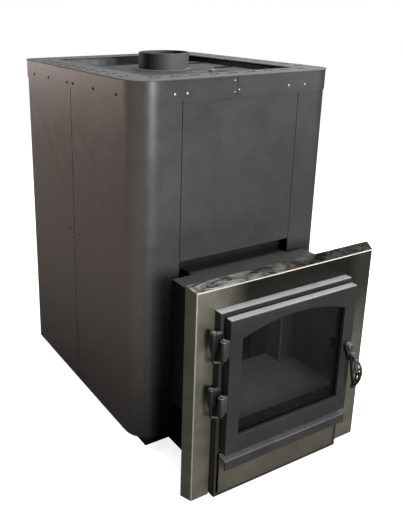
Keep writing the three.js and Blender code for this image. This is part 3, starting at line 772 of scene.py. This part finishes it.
bm = bmesh.new()
bolt_place = Matrix.Translation((BOLT_X, BOLT_Y, 0))
add_lathe(bm, rect(0, 4 * MM, BOLT_LOW[2], PLATE_TOP + 1 * MM), 20, bolt_place)
head = [(0, top_z), (6.6 * MM, top_z), (7 * MM, PLATE_TOP + 0.7 * MM), (7 * MM, BOLT_HIGH[2] - 0.7 * MM),
        (6.1 * MM, BOLT_HIGH[2]), (0, BOLT_HIGH[2])]
add_lathe(bm, head, 6, bolt_place)
bolt = finish_mesh("plate_bolt", bm, "stove", ZINC, math.radians(20))
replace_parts(bolt, "top_plate_bolt")


# ---- Rivets and screws on the casing

# (radius, height) of a domed head, for a radius of 1.
DOME = [(0, -0.6), (1.0, -0.6), (1.0, 0.10), (0.94, 0.30), (0.78, 0.48), (0.50, 0.60), (0.22, 0.66),
        (0, 0.67)]


def add_rivet(bm, point, direction, radius, flatness=1.0):
    """A domed head that stands out from a point."""
    add_lathe(bm, [(r * radius, h * radius * flatness) for r, h in DOME], 18, aim(point, direction))


BAND_LOW, BAND_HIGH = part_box("top_band_left")
RIVET = 3.0 * MM
LAP_RIVET = 2.2 * MM

bm = bmesh.new()
for x, z in ((-161, 768), (-133, 768), (113, 768), (155, 768), (-24, 786), (-13.5, 768), (-24, 764)):
    add_rivet(bm, (x * MM, BAND_LOW[1], z * MM), (0, -1, 0), RIVET if abs(x) > 30 else LAP_RIVET)
finish_mesh("band_rivets_front", bm, "stove", BRIGHT_ZINC)

bm = bmesh.new()
for side in (-1, 1):
    for y in (213, 126, 21, -7.5, -105, -202):
        add_rivet(bm, (-side * BAND_LOW[0], y * MM, 765 * MM), (side, 0, 0), RIVET)
for x in (-190, -100, 0, 100, 190):
    add_rivet(bm, (x * MM, BAND_HIGH[1], 768 * MM), (0, 1, 0), RIVET)
finish_mesh("band_rivets_side", bm, "stove", HINGE_IRON)


def add_screw(bm, point, direction, radius=3.0 * MM):
    """A pan-head screw with a cross on its head."""
    add_rivet(bm, point, direction, radius, 0.8)
    lift = aim(point, direction) @ Matrix.Translation((0, 0, radius * 0.50))
    bar = Matrix.Diagonal((radius * 1.1, radius * 0.22, radius * 0.12, 1.0))
    for turn in (0, math.pi / 2):
        bmesh.ops.create_cube(bm, size=1, matrix=lift @ Matrix.Rotation(turn, 4, "Z") @ bar)


bm = bmesh.new()
for side in (-1, 1):
    add_screw(bm, (side * HALF_WIDTH, 33 * MM, 430 * MM), (side, 0, 0))
    add_screw(bm, (side * HALF_WIDTH, -19 * MM, 431 * MM), (side, 0, 0))
    add_screw(bm, (side * 160 * MM, -HALF_DEPTH, 56 * MM), (0, -1, 0))
finish_mesh("casing_screws", bm, "stove", HINGE_IRON)


# ---- Portal facing: one bent sheet, an arch of three sides round the door frame

FACING_LOW, FACING_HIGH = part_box("portal_facing")
FRAME_LOW, FRAME_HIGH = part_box("door_frame")
FACING_X = middle(FACING_LOW, FACING_HIGH)[0]
FOLD_OUT = 9 * MM
FOLD_DEPTH = FACING_HIGH[1] - FACING_LOW[1]
FOLD_ANGLE = math.atan2(FOLD_DEPTH, FOLD_OUT)
SHEET = 1.5 * MM
BEND = 3.4 * MM
BEND_RUN = BEND * math.tan(FOLD_ANGLE / 2)


def facing_section(inset):
    """(outwards, back) points of the sheet's face, from the flat front round the bend to the back edge."""
    radius = BEND - inset
    points = [(radius * math.sin(a) - BEND_RUN, BEND - radius * math.cos(a))
              for a in angles(0, math.degrees(FOLD_ANGLE), 6)]
    out, back = points[-1]
    return points + [(out + (FOLD_DEPTH - back) / math.tan(FOLD_ANGLE), FOLD_DEPTH)]


def three_sides(x0, x1, top, back):
    """A path up one side of the door frame, over its top and down the other side."""
    return at_depth([(x0, FACING_LOW[2]), (x0, top), (x1, top), (x1, FACING_LOW[2])], FACING_LOW[1] + back)


def facing_edge(outwards, back):
    """The path at one place of the facing's section."""
    half = (FACING_HIGH[0] - FACING_LOW[0]) / 2 - FOLD_OUT + outwards
    return three_sides(FACING_X - half, FACING_X + half, FACING_HIGH[2] - FOLD_OUT + outwards, back)


def frame_edge(back):
    """The path just outside the door frame."""
    gap = 0.4 * MM
    return three_sides(FRAME_LOW[0] - gap, FRAME_HIGH[0] + gap, FRAME_HIGH[2] + gap, back)


loops = [frame_edge(0)] + [facing_edge(*point) for point in facing_section(0)]
loops += [facing_edge(*point) for point in reversed(facing_section(SHEET))] + [frame_edge(SHEET)]
bm = bmesh.new()
add_loft(bm, loops, ring=True, closed=False)
facing = finish_mesh("facing_sheet", bm, "stove", STAINLESS, math.radians(24))
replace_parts(facing, "portal_facing")

# Two strips beside the ash channel's mouth, behind the frame's lower opening.
CHANNEL_LOW, CHANNEL_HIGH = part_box("ash_channel")
cheek_y, cheek_top = CHANNEL_LOW[1] + 0.2 * MM, CHANNEL_HIGH[2] - 1 * MM
bm = bmesh.new()
for x0, x1 in ((FRAME_LOW[0] + 1 * MM, CHANNEL_LOW[0] - 0.2 * MM),
               (CHANNEL_HIGH[0] + 0.2 * MM, FRAME_HIGH[0] - 1 * MM)):
    add_box(bm, (x0, cheek_y, 2 * MM), (x1, cheek_y + 2 * MM, cheek_top), 0.3 * MM)
finish_mesh("channel_cheeks", bm, "stove", BLACK_STEEL)


# ---- Inside of the portal box and the tunnel: ash-grey liner sheets and the weld round the tunnel's mouth

WALL = 4 * MM
LINER_SHEET = 0.8 * MM
LINER_GAP = 0.2 * MM


def inner_box(node):
    """The box inside a node's walls, with its full depth."""
    low, high = (Vector(corner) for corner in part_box(node))
    return low + Vector((WALL, 0, WALL)), high - Vector((WALL, 0, WALL))


def add_lining(bm, low, high):
    """Four thin sheets just inside a box that is open at the front and the back."""
    gap = Vector((LINER_GAP, LINER_GAP, LINER_GAP))
    low, high = low + gap, high - gap
    add_box(bm, low, (low.x + LINER_SHEET, high.y, high.z))
    add_box(bm, (high.x - LINER_SHEET, low.y, low.z), high)
    for z in (low.z, high.z - LINER_SHEET):
        add_box(bm, (low.x + LINER_SHEET, low.y, z), (high.x - LINER_SHEET, high.y, z + LINER_SHEET))


PORTAL_LOW, PORTAL_HIGH = inner_box("portal_box")
TUNNEL_LOW, TUNNEL_HIGH = inner_box("fuel_tunnel")
PORTAL_REAR = PORTAL_HIGH.y - WALL
bm = bmesh.new()
add_lining(bm, PORTAL_LOW, Vector((PORTAL_HIGH.x, PORTAL_REAR, PORTAL_HIGH.z)))
add_lining(bm, Vector((TUNNEL_LOW.x, PORTAL_REAR, TUNNEL_LOW.z)), TUNNEL_HIGH)
sheet_y = PORTAL_REAR - LINER_GAP - LINER_SHEET
for x0, x1 in ((PORTAL_LOW.x + 1 * MM, TUNNEL_LOW.x + LINER_GAP),
               (TUNNEL_HIGH.x - LINER_GAP, PORTAL_HIGH.x - 1 * MM)):
    add_box(bm, (x0, sheet_y, PORTAL_LOW.z + 1 * MM), (x1, sheet_y + LINER_SHEET, PORTAL_HIGH.z - 1 * MM))
finish_mesh("portal_liner", bm, "stove", LINER)

bm = bmesh.new()
mouth_y = PORTAL_REAR - 1.2 * MM
floor_z = PORTAL_LOW.z + 1.5 * MM
for x in (TUNNEL_LOW.x, TUNNEL_HIGH.x):
    add_bead(bm, (x, mouth_y, TUNNEL_LOW.z + 2 * MM), (x, mouth_y, TUNNEL_HIGH.z - 2 * MM), 2.2 * MM)
for x in (PORTAL_LOW.x + 2 * MM, PORTAL_HIGH.x - 2 * MM):
    add_bead(bm, (x, PORTAL_LOW.y + 4 * MM, floor_z), (x, mouth_y, floor_z), 1.8 * MM)
finish_mesh("portal_welds", bm, "stove", WELD)


# ---- Door frame

def carve(piece, low, high):
    """Cuts a box out of a piece."""
    bm = bmesh.new()
    add_box(bm, low, high)
    cutter = finish_mesh("cutter", bm, None, PAINTED_SHADE_BLACK)
    cut = piece.modifiers.new("pocket", "BOOLEAN")
    cut.object = cutter
    cut.solver = "EXACT"
    carved = baked(piece)
    piece.modifiers.remove(cut)
    plain, shape = piece.data, cutter.data
    piece.data = carved
    carved.name = piece.name
    bpy.data.objects.remove(cutter)
    for mesh in (plain, shape):
        bpy.data.meshes.remove(mesh)


FIRE_X = mm(-142, 150)
FIRE_Z = mm(147, 380)
ASH_X = mm(-160, 154)
ASH_Z = mm(10, 106)
# The tongue's pocket in the right edge of the fuel opening.
POCKET_X = (FIRE_X[1] - 2 * MM, 157.5 * MM)
POCKET_Y = mm(-443.5, -434.5)
POCKET_Z = mm(246, 276)

frame_loops = [rounded(rect(FRAME_LOW[0], FRAME_HIGH[0], FRAME_LOW[2], FRAME_HIGH[2]), 1.6 * MM, 3),
               rounded(rect(*FIRE_X, *FIRE_Z), 3 * MM), rounded(rect(*ASH_X, *ASH_Z), 1 * MM, 3)]
bm = bmesh.new()
add_plate(bm, frame_loops, -FRAME_HIGH[1], -FRAME_LOW[1], 1.2 * MM, FRONT)
casting = finish_mesh("frame_casting", bm, "stove", DOOR_IRON)
carve(casting, *zip(POCKET_X, POCKET_Y, POCKET_Z))
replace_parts(casting, "door_frame")


# ---- Door: a slab with round edges and an arched window

DOOR_LOW, DOOR_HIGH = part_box("door_casting")
DOOR_X = middle(DOOR_LOW, DOOR_HIGH)[0]
ARCH_HALF = 127.5 * MM
ARCH_BOTTOM = 149 * MM
ARCH_SPRING = 353 * MM
ARCH_RISE = 22 * MM
ARCH_STEPS = 24
ARCH_RADIUS = (ARCH_HALF ** 2 + ARCH_RISE ** 2) / (2 * ARCH_RISE)
ARCH_CENTRE = ARCH_SPRING + ARCH_RISE - ARCH_RADIUS


def arch(grow, corner=2 * MM):
    """The window's outline, grown all round: its bottom corners, right shoulder, head and left shoulder."""
    reach = ARCH_HALF + grow
    radius = ARCH_RADIUS + grow
    lean = math.asin(reach / radius)
    shoulder = ARCH_CENTRE + radius * math.cos(lean)
    turns = angles(math.degrees(lean), -math.degrees(lean), ARCH_STEPS)[1:-1]
    head = [(DOOR_X + radius * math.sin(a), ARCH_CENTRE + radius * math.cos(a), False) for a in turns]
    points = [(DOOR_X - reach, ARCH_BOTTOM - grow), (DOOR_X + reach, ARCH_BOTTOM - grow),
              (DOOR_X + reach, shoulder), *head, (DOOR_X - reach, shoulder)]
    return rounded(points, corner)


def slab(grow, corner):
    """The door's outline with as many points as the window's, so the two can be skinned together."""
    x0, x1 = DOOR_LOW[0] - grow, DOOR_HIGH[0] + grow
    z0, z1 = DOOR_LOW[2] - grow, DOOR_HIGH[2] + grow
    head = [(x1 + (x0 - x1) * k / ARCH_STEPS, z1, False) for k in range(1, ARCH_STEPS)]
    return rounded([(x0, z0), (x1, z0), (x1, z1), *head, (x0, z1)], corner)


def quarter(radius):
    """(inwards, depth) points of a rounded edge, from the side face to the front face."""
    return [(radius * (1 - math.cos(a)), radius * (1 - math.sin(a))) for a in angles(0, 90, 4)]


EDGE = 2.2 * MM
WINDOW_EDGE = 1.6 * MM
CORNER = 3 * MM
REBATE = 7 * MM
REBATE_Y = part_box("door_glass")[0][1] - 1.6 * MM
door_front, door_back = DOOR_LOW[1], DOOR_HIGH[1]
loops = [at_depth(slab(-0.8 * MM, CORNER), door_back), at_depth(slab(0, CORNER), door_back - 0.8 * MM)]
loops += [at_depth(slab(-inwards, CORNER), door_front + depth) for inwards, depth in quarter(EDGE)]
loops += [at_depth(arch(inwards), door_front + depth) for inwards, depth in reversed(quarter(WINDOW_EDGE))]
loops += [at_depth(arch(0), REBATE_Y), at_depth(arch(REBATE), REBATE_Y), at_depth(arch(REBATE), door_back)]
bm = bmesh.new()
add_loft(bm, loops, ring=True)
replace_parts(finish_mesh("door_slab", bm, "door", DOOR_IRON), "door_casting")

bm = bmesh.new()
gasket_y = middle(*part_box("glass_gasket"))[1]
add_sweep(bm, at_depth(arch(2.6 * MM, 4 * MM), gasket_y), 2.0 * MM, 8, closed=True, squeeze=0.5)
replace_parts(finish_mesh("window_gasket", bm, "door", ROPE), "glass_gasket")

SEAL_LOW, SEAL_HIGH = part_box("door_seal")
seal_y = middle(SEAL_LOW, SEAL_HIGH)[1]
seal_radius = (SEAL_HIGH[1] - SEAL_LOW[1]) / 2
inset = seal_radius + 0.5 * MM
seal = rect(SEAL_LOW[0] + inset, SEAL_HIGH[0] - inset, SEAL_LOW[2] + inset, SEAL_HIGH[2] - inset)
bm = bmesh.new()
add_sweep(bm, at_depth(rounded(seal, 9 * MM, 8), seal_y), seal_radius, 12, closed=True)
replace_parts(finish_mesh("door_rope", bm, "door", ROPE), "door_seal")

bm = bmesh.new()
retainer_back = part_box("glass_retainer")[1][1]
for x in (DOOR_X - ARCH_HALF - 2 * MM, DOOR_X + ARCH_HALF + 2 * MM):
    for z in (185 * MM, 330 * MM):
        add_rivet(bm, (x, retainer_back, z), (0, 1, 0), 2.6 * MM)
finish_mesh("retainer_screws", bm, "door", ZINC)


# ---- Hinges: eyes on the frame and on the door, joined by bent rod links

FRAME_EYE = Vector(mm(-185, -456, 0))
DOOR_EYE = Vector(mm(-171, -468, 0))
# Front and back of the tabs that hold the eyes.
FRAME_TAB = mm(-459, -449)
DOOR_TAB = mm(-472, -464)
DOOR_WEB = mm(-471, -465)
TAB_EDGE = 1.2 * MM
ROD = 2.9 * MM
ROD_BEND = 3.5 * MM
EYE_BORE = 3.4 * MM
EYE_EDGE = 1.0 * MM


def add_eye(bm, centre, radius, low, high):
    """A short tube with rounded rims."""
    soft, softer = EYE_EDGE, 0.3 * EYE_EDGE
    profile = [(EYE_BORE, low), (radius - soft, low), (radius - softer, low + softer), (radius, low + soft),
               (radius, high - soft), (radius - softer, high - softer), (radius - soft, high),
               (EYE_BORE + 0.6 * MM, high), (EYE_BORE, high - 0.6 * MM)]
    add_lathe(bm, profile, 28, Matrix.Translation(centre))


def add_rod(bm, corners):
    """A rod of straight runs with rounded corners."""
    path = [corners[0]]
    for before, here, after in zip(corners, corners[1:], corners[2:]):
        path += round_corner(before, here, after, ROD_BEND, 6)
    add_sweep(bm, path + [corners[-1]], ROD, 14)


def add_tab(bm, x0, x1, depths, z0, z1):
    """A flat bar between an eye and the casting behind it."""
    add_box(bm, (x0, depths[0], z0), (x1, depths[1], z1), TAB_EDGE)


for word in ("upper", "lower"):
    low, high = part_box("frame_hinge_" + word)
    bm = bmesh.new()
    add_eye(bm, FRAME_EYE, 6.4 * MM, low[2], high[2])
    add_tab(bm, FRAME_EYE.x + 5.6 * MM, high[0], FRAME_TAB, low[2] + 3 * MM, high[2] - 3 * MM)
    piece = finish_mesh("frame_eye_" + word, bm, "stove", HINGE_IRON)
    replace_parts(piece, "frame_hinge_" + word)

    low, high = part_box("door_hinge_" + word)
    bm = bmesh.new()
    add_eye(bm, DOOR_EYE, 6.9 * MM, low[2], high[2])
    add_tab(bm, DOOR_EYE.x + 6 * MM, high[0], DOOR_TAB, high[2] - 20 * MM, high[2] - 1 * MM)
    add_tab(bm, DOOR_EYE.x + 5 * MM, high[0], DOOR_WEB, low[2] + 3 * MM, high[2] - 12 * MM)
    piece = finish_mesh("door_eye_" + word, bm, "door", FITTING_IRON)
    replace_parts(piece, "door_hinge_" + word)

    low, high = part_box("hinge_link_" + word)
    cross = Vector((0, 0, low[2] + 3.4 * MM))
    frame_top = Vector((0, 0, high[2]))
    door_top = Vector((0, 0, high[2] - 14 * MM))
    capped = Vector((0, 0, 1 * MM))
    bm = bmesh.new()
    add_rod(bm, [FRAME_EYE + frame_top - capped, FRAME_EYE + cross,
                 DOOR_EYE + cross, DOOR_EYE + door_top - capped])
    for end, radius in ((FRAME_EYE + frame_top, 5.4 * MM), (DOOR_EYE + door_top, 4.6 * MM)):
        cap = [(0, -3.0 * MM), (radius, -3.0 * MM), (radius, -1.2 * MM), (radius * 0.8, -0.3 * MM), (0, 0)]
        add_lathe(bm, cap, 20, Matrix.Translation(end))
    piece = finish_mesh("link_rod_" + word, bm, "hinge_link", HINGE_IRON)
    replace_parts(piece, "hinge_link_" + word)


# ---- Latch: spindle, lever, tongue and the openwork handle

SPINDLE_LOW, SPINDLE_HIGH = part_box("latch_spindle")
SPINDLE_X, _, SPINDLE_Z = middle(SPINDLE_LOW, SPINDLE_HIGH)
SPINDLE_RADIUS = 5 * MM
LEVER_LOW, LEVER_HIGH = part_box("latch_lever")
LEVER_DEPTHS = mm(474, 481)
HANDLE_LOW, HANDLE_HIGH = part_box("latch_handle")
HANDLE_X = middle(HANDLE_LOW, HANDLE_HIGH)[0]
bore = circle(SPINDLE_X, SPINDLE_Z, SPINDLE_RADIUS + 0.3 * MM)

shaft = SPINDLE_HIGH[1] - SPINDLE_LOW[1]
head = [(0, 0), (3.0, 0), (6.2, 0.9), (8.0, 2.4), (8.5, 4.0), (8.3, 5.2), (5.0, 5.3)]
profile = [mm(*point) for point in head]
profile += [(SPINDLE_RADIUS, shaft - 0.6 * MM), (SPINDLE_RADIUS - 0.6 * MM, shaft), (0, shaft)]
bm = bmesh.new()
add_lathe(bm, profile, 28, aim((SPINDLE_X, SPINDLE_LOW[1], SPINDLE_Z), (0, 1, 0)))
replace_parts(finish_mesh("spindle_rod", bm, "latch", FITTING_IRON), "latch_spindle")

block_x = LEVER_HIGH[0] - 12 * MM
arm_z, block_z = LEVER_LOW[2] + 8 * MM, LEVER_LOW[2] + 16 * MM
arm = on_circle(SPINDLE_X, SPINDLE_Z, 9.5 * MM, angles(-15, 195, 16))
arm += [(block_x, arm_z), (LEVER_HIGH[0] - 1 * MM, arm_z)]
bm = bmesh.new()
add_plate(bm, [arm, bore], *LEVER_DEPTHS, 0.9 * MM, FRONT)
add_box(bm, (block_x, *LEVER_LOW[1:]), (LEVER_HIGH[0], LEVER_HIGH[1], block_z), 1.6 * MM, 3)
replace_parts(finish_mesh("lever_arm", bm, "latch", FITTING_IRON), "latch_lever")

TONGUE_LOW, TONGUE_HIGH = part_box("latch_tongue")
TONGUE_HALF = 4.5 * MM
tongue = on_circle(SPINDLE_X, SPINDLE_Z, 7 * MM, angles(-50, 230, 16))
tongue += [(SPINDLE_X - TONGUE_HALF, TONGUE_LOW[2]), (SPINDLE_X + TONGUE_HALF, TONGUE_LOW[2])]
bm = bmesh.new()
add_plate(bm, [tongue, bore], -TONGUE_HIGH[1], -TONGUE_LOW[1], 0.8 * MM, FRONT)
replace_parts(finish_mesh("tongue_plate", bm, "latch", FITTING_IRON), "latch_tongue")

WIRE = 1.5 * MM
BOWS = 6
BOW_STEPS = 22
BULGE = 18.5 * MM
BULGE_SIDE = 9 * MM
KNOB_RADIUS = 4.6 * MM
ROOT = Vector((HANDLE_X, LEVER_LOW[1] - 3 * MM, HANDLE_HIGH[2] - 5 * MM))
TIP = Vector((HANDLE_X, HANDLE_LOW[1] + 20 * MM, HANDLE_LOW[2] + 5 * MM))


def add_bow(bm, lean, twist, radius, sides):
    """One bowed wire from the handle's root to its tip."""
    points = []
    for t in (k / BOW_STEPS for k in range(BOW_STEPS + 1)):
        swell = math.sin(math.pi * t ** 0.80) ** 0.70
        angle = lean + twist * (t - 0.5)
        out = Vector((BULGE_SIDE * math.sin(angle), -BULGE * (0.28 + 0.72 * math.cos(angle)), 0))
        points.append(ROOT.lerp(TIP, t) + out * swell)
    add_sweep(bm, points, radius, sides)


bm = bmesh.new()
for lean in angles(-90, 90, BOWS - 1):
    for twist in (-1.0, 1.0):
        add_bow(bm, lean, twist, WIRE * 0.72, 7)
add_bow(bm, 0, 0, WIRE * 1.3, 10)
add_sweep(bm, [TIP, (HANDLE_X, LEVER_LOW[1] + 7 * MM, LEVER_LOW[2])], 2.4 * MM, 12)
knob = on_circle(0, 0, KNOB_RADIUS, angles(-90, 90, 10))
knob[0].x = knob[-1].x = 0
add_lathe(bm, knob, 16, Matrix.Translation(TIP))
add_box(bm, (HANDLE_X - 4.5 * MM, LEVER_LOW[1] - 5 * MM, ROOT.z - 6 * MM),
        (HANDLE_X + 4.5 * MM, LEVER_LOW[1] - 0.2 * MM, ROOT.z + 4 * MM), 1.6 * MM, 3)
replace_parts(finish_mesh("basket_handle", bm, "latch", HINGE_IRON), "latch_handle")


# ---- Ash drawer front

FACE_LOW, FACE_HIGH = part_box("ash_drawer_face")
bm = bmesh.new()
face_outline = rounded(rect(FACE_LOW[0], FACE_HIGH[0], FACE_LOW[2], FACE_HIGH[2]), 1.5 * MM, 3)
add_plate(bm, [face_outline], -FACE_HIGH[1], -FACE_LOW[1], 0.9 * MM, FRONT)
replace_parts(finish_mesh("drawer_front", bm, "ash_drawer", DRAWER_STEEL), "ash_drawer_face")

LIP_LOW, LIP_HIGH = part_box("ash_drawer_lip")
LIP_SHEET = 3 * MM
under, behind = LIP_HIGH[2] - LIP_SHEET, LIP_LOW[1] + LIP_SHEET
section = rounded([(LIP_HIGH[1], under), (LIP_HIGH[1], LIP_HIGH[2]), (LIP_LOW[1], LIP_HIGH[2]),
                   (LIP_LOW[1], LIP_LOW[2]), (behind, LIP_LOW[2]), (behind, under)], 0.9 * MM, 4)
bm = bmesh.new()
add_loft(bm, [[Vector((x, y, z)) for y, z in section] for x in (LIP_LOW[0], LIP_HIGH[0])])
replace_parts(finish_mesh("drawer_lip_bar", bm, "ash_drawer", LIP_IRON), "ash_drawer_lip")


# ---- Floor, light and camera

bm = bmesh.new()
bmesh.ops.create_grid(bm, x_segments=1, y_segments=1, size=12)
floor_paint = Nodes("studio_floor")
floor_paint.set("Emission Color", (1.0, 1.0, 1.0, 1.0))
seen = floor_paint.node("ShaderNodeLightPath").outputs["Is Camera Ray"]
floor_paint.set("Emission Strength", floor_paint.spread(seen, 0.0, 0.82, 0.0, 1.0))
floor_finish = floor_paint.finish(floor_paint.mix(seen, (0.14, 0.14, 0.135), grey(0.80)), 0.8, specular=0.1)
floor = finish_mesh("studio_floor", bm, None, floor_finish)
floor.location.z = CAD_BOX[0][2] - 0.2 * MM

scene = bpy.context.scene
world = bpy.data.worlds.new("studio")
scene.world = world
world.use_nodes = True
sky = world.node_tree
background = sky.nodes["Background"]
background.inputs["Color"].default_value = (1, 1, 1, 1)
seen = sky.nodes.new("ShaderNodeLightPath").outputs["Is Camera Ray"]
strength = sky.nodes.new("ShaderNodeMapRange")
strength.inputs["To Min"].default_value = 0.22
strength.inputs["To Max"].default_value = 1.0
sky.links.new(seen, strength.inputs["Value"])
sky.links.new(strength.outputs["Result"], background.inputs["Strength"])


def softbox(name, place, target, width, height, power, colour=(1, 1, 1)):
    """A rectangular lamp that the camera doesn't see."""
    light = bpy.data.lights.new(name, "AREA")
    light.shape = "RECTANGLE"
    light.size = width
    light.size_y = height
    light.energy = power
    light.color = colour
    lamp = bpy.data.objects.new(name, light)
    scene.collection.objects.link(lamp)
    lamp.location = place
    lamp.rotation_euler = (Vector(target) - Vector(place)).to_track_quat("-Z", "Y").to_euler()
    lamp.visible_camera = False
    return lamp


AIM = (0, -0.1, 0.45)
softbox("key", (-0.55, -3.3, 1.2), AIM, 0.9, 0.6, 104)
softbox("overhead", (0.3, -0.6, 2.8), AIM, 1.3, 1.1, 52)
softbox("warm_side", (-1.3, 2.8, 1.15), (-0.24, 0.0, 0.5), 1.5, 0.8, 52, (1.0, 0.84, 0.76))
softbox("back_right", (1.7, 1.3, 2.6), AIM, 1.0, 0.8, 34)
softbox("right_front", (2.3, -2.2, 1.2), AIM, 1.0, 1.2, 11)

inside = softbox("portal_glow", (PORTAL_LOW.x + 0.10, PORTAL_LOW.y + 0.03, PORTAL_HIGH.z - 0.015),
                 (0.08, PORTAL_REAR, PORTAL_LOW.z), 0.16, 0.02, 0.36)
inside.visible_glossy = False

CAMERA_DOWN = 17.59
CAMERA_RIGHT = 29.56
camera_data = bpy.data.cameras.new("camera")
camera_data.lens = 44.24
camera_data.sensor_width = 36
camera_data.shift_x = 0.126
camera_data.shift_y = -0.108
camera = bpy.data.objects.new("camera", camera_data)
scene.collection.objects.link(camera)
camera.location = (-0.8135, -1.2814, 0.9303)
camera.rotation_euler = (math.radians(90 - CAMERA_DOWN), 0, math.radians(-CAMERA_RIGHT))
scene.camera = camera
scene.view_settings.view_transform = "Standard"

low, high = CAD_BOX
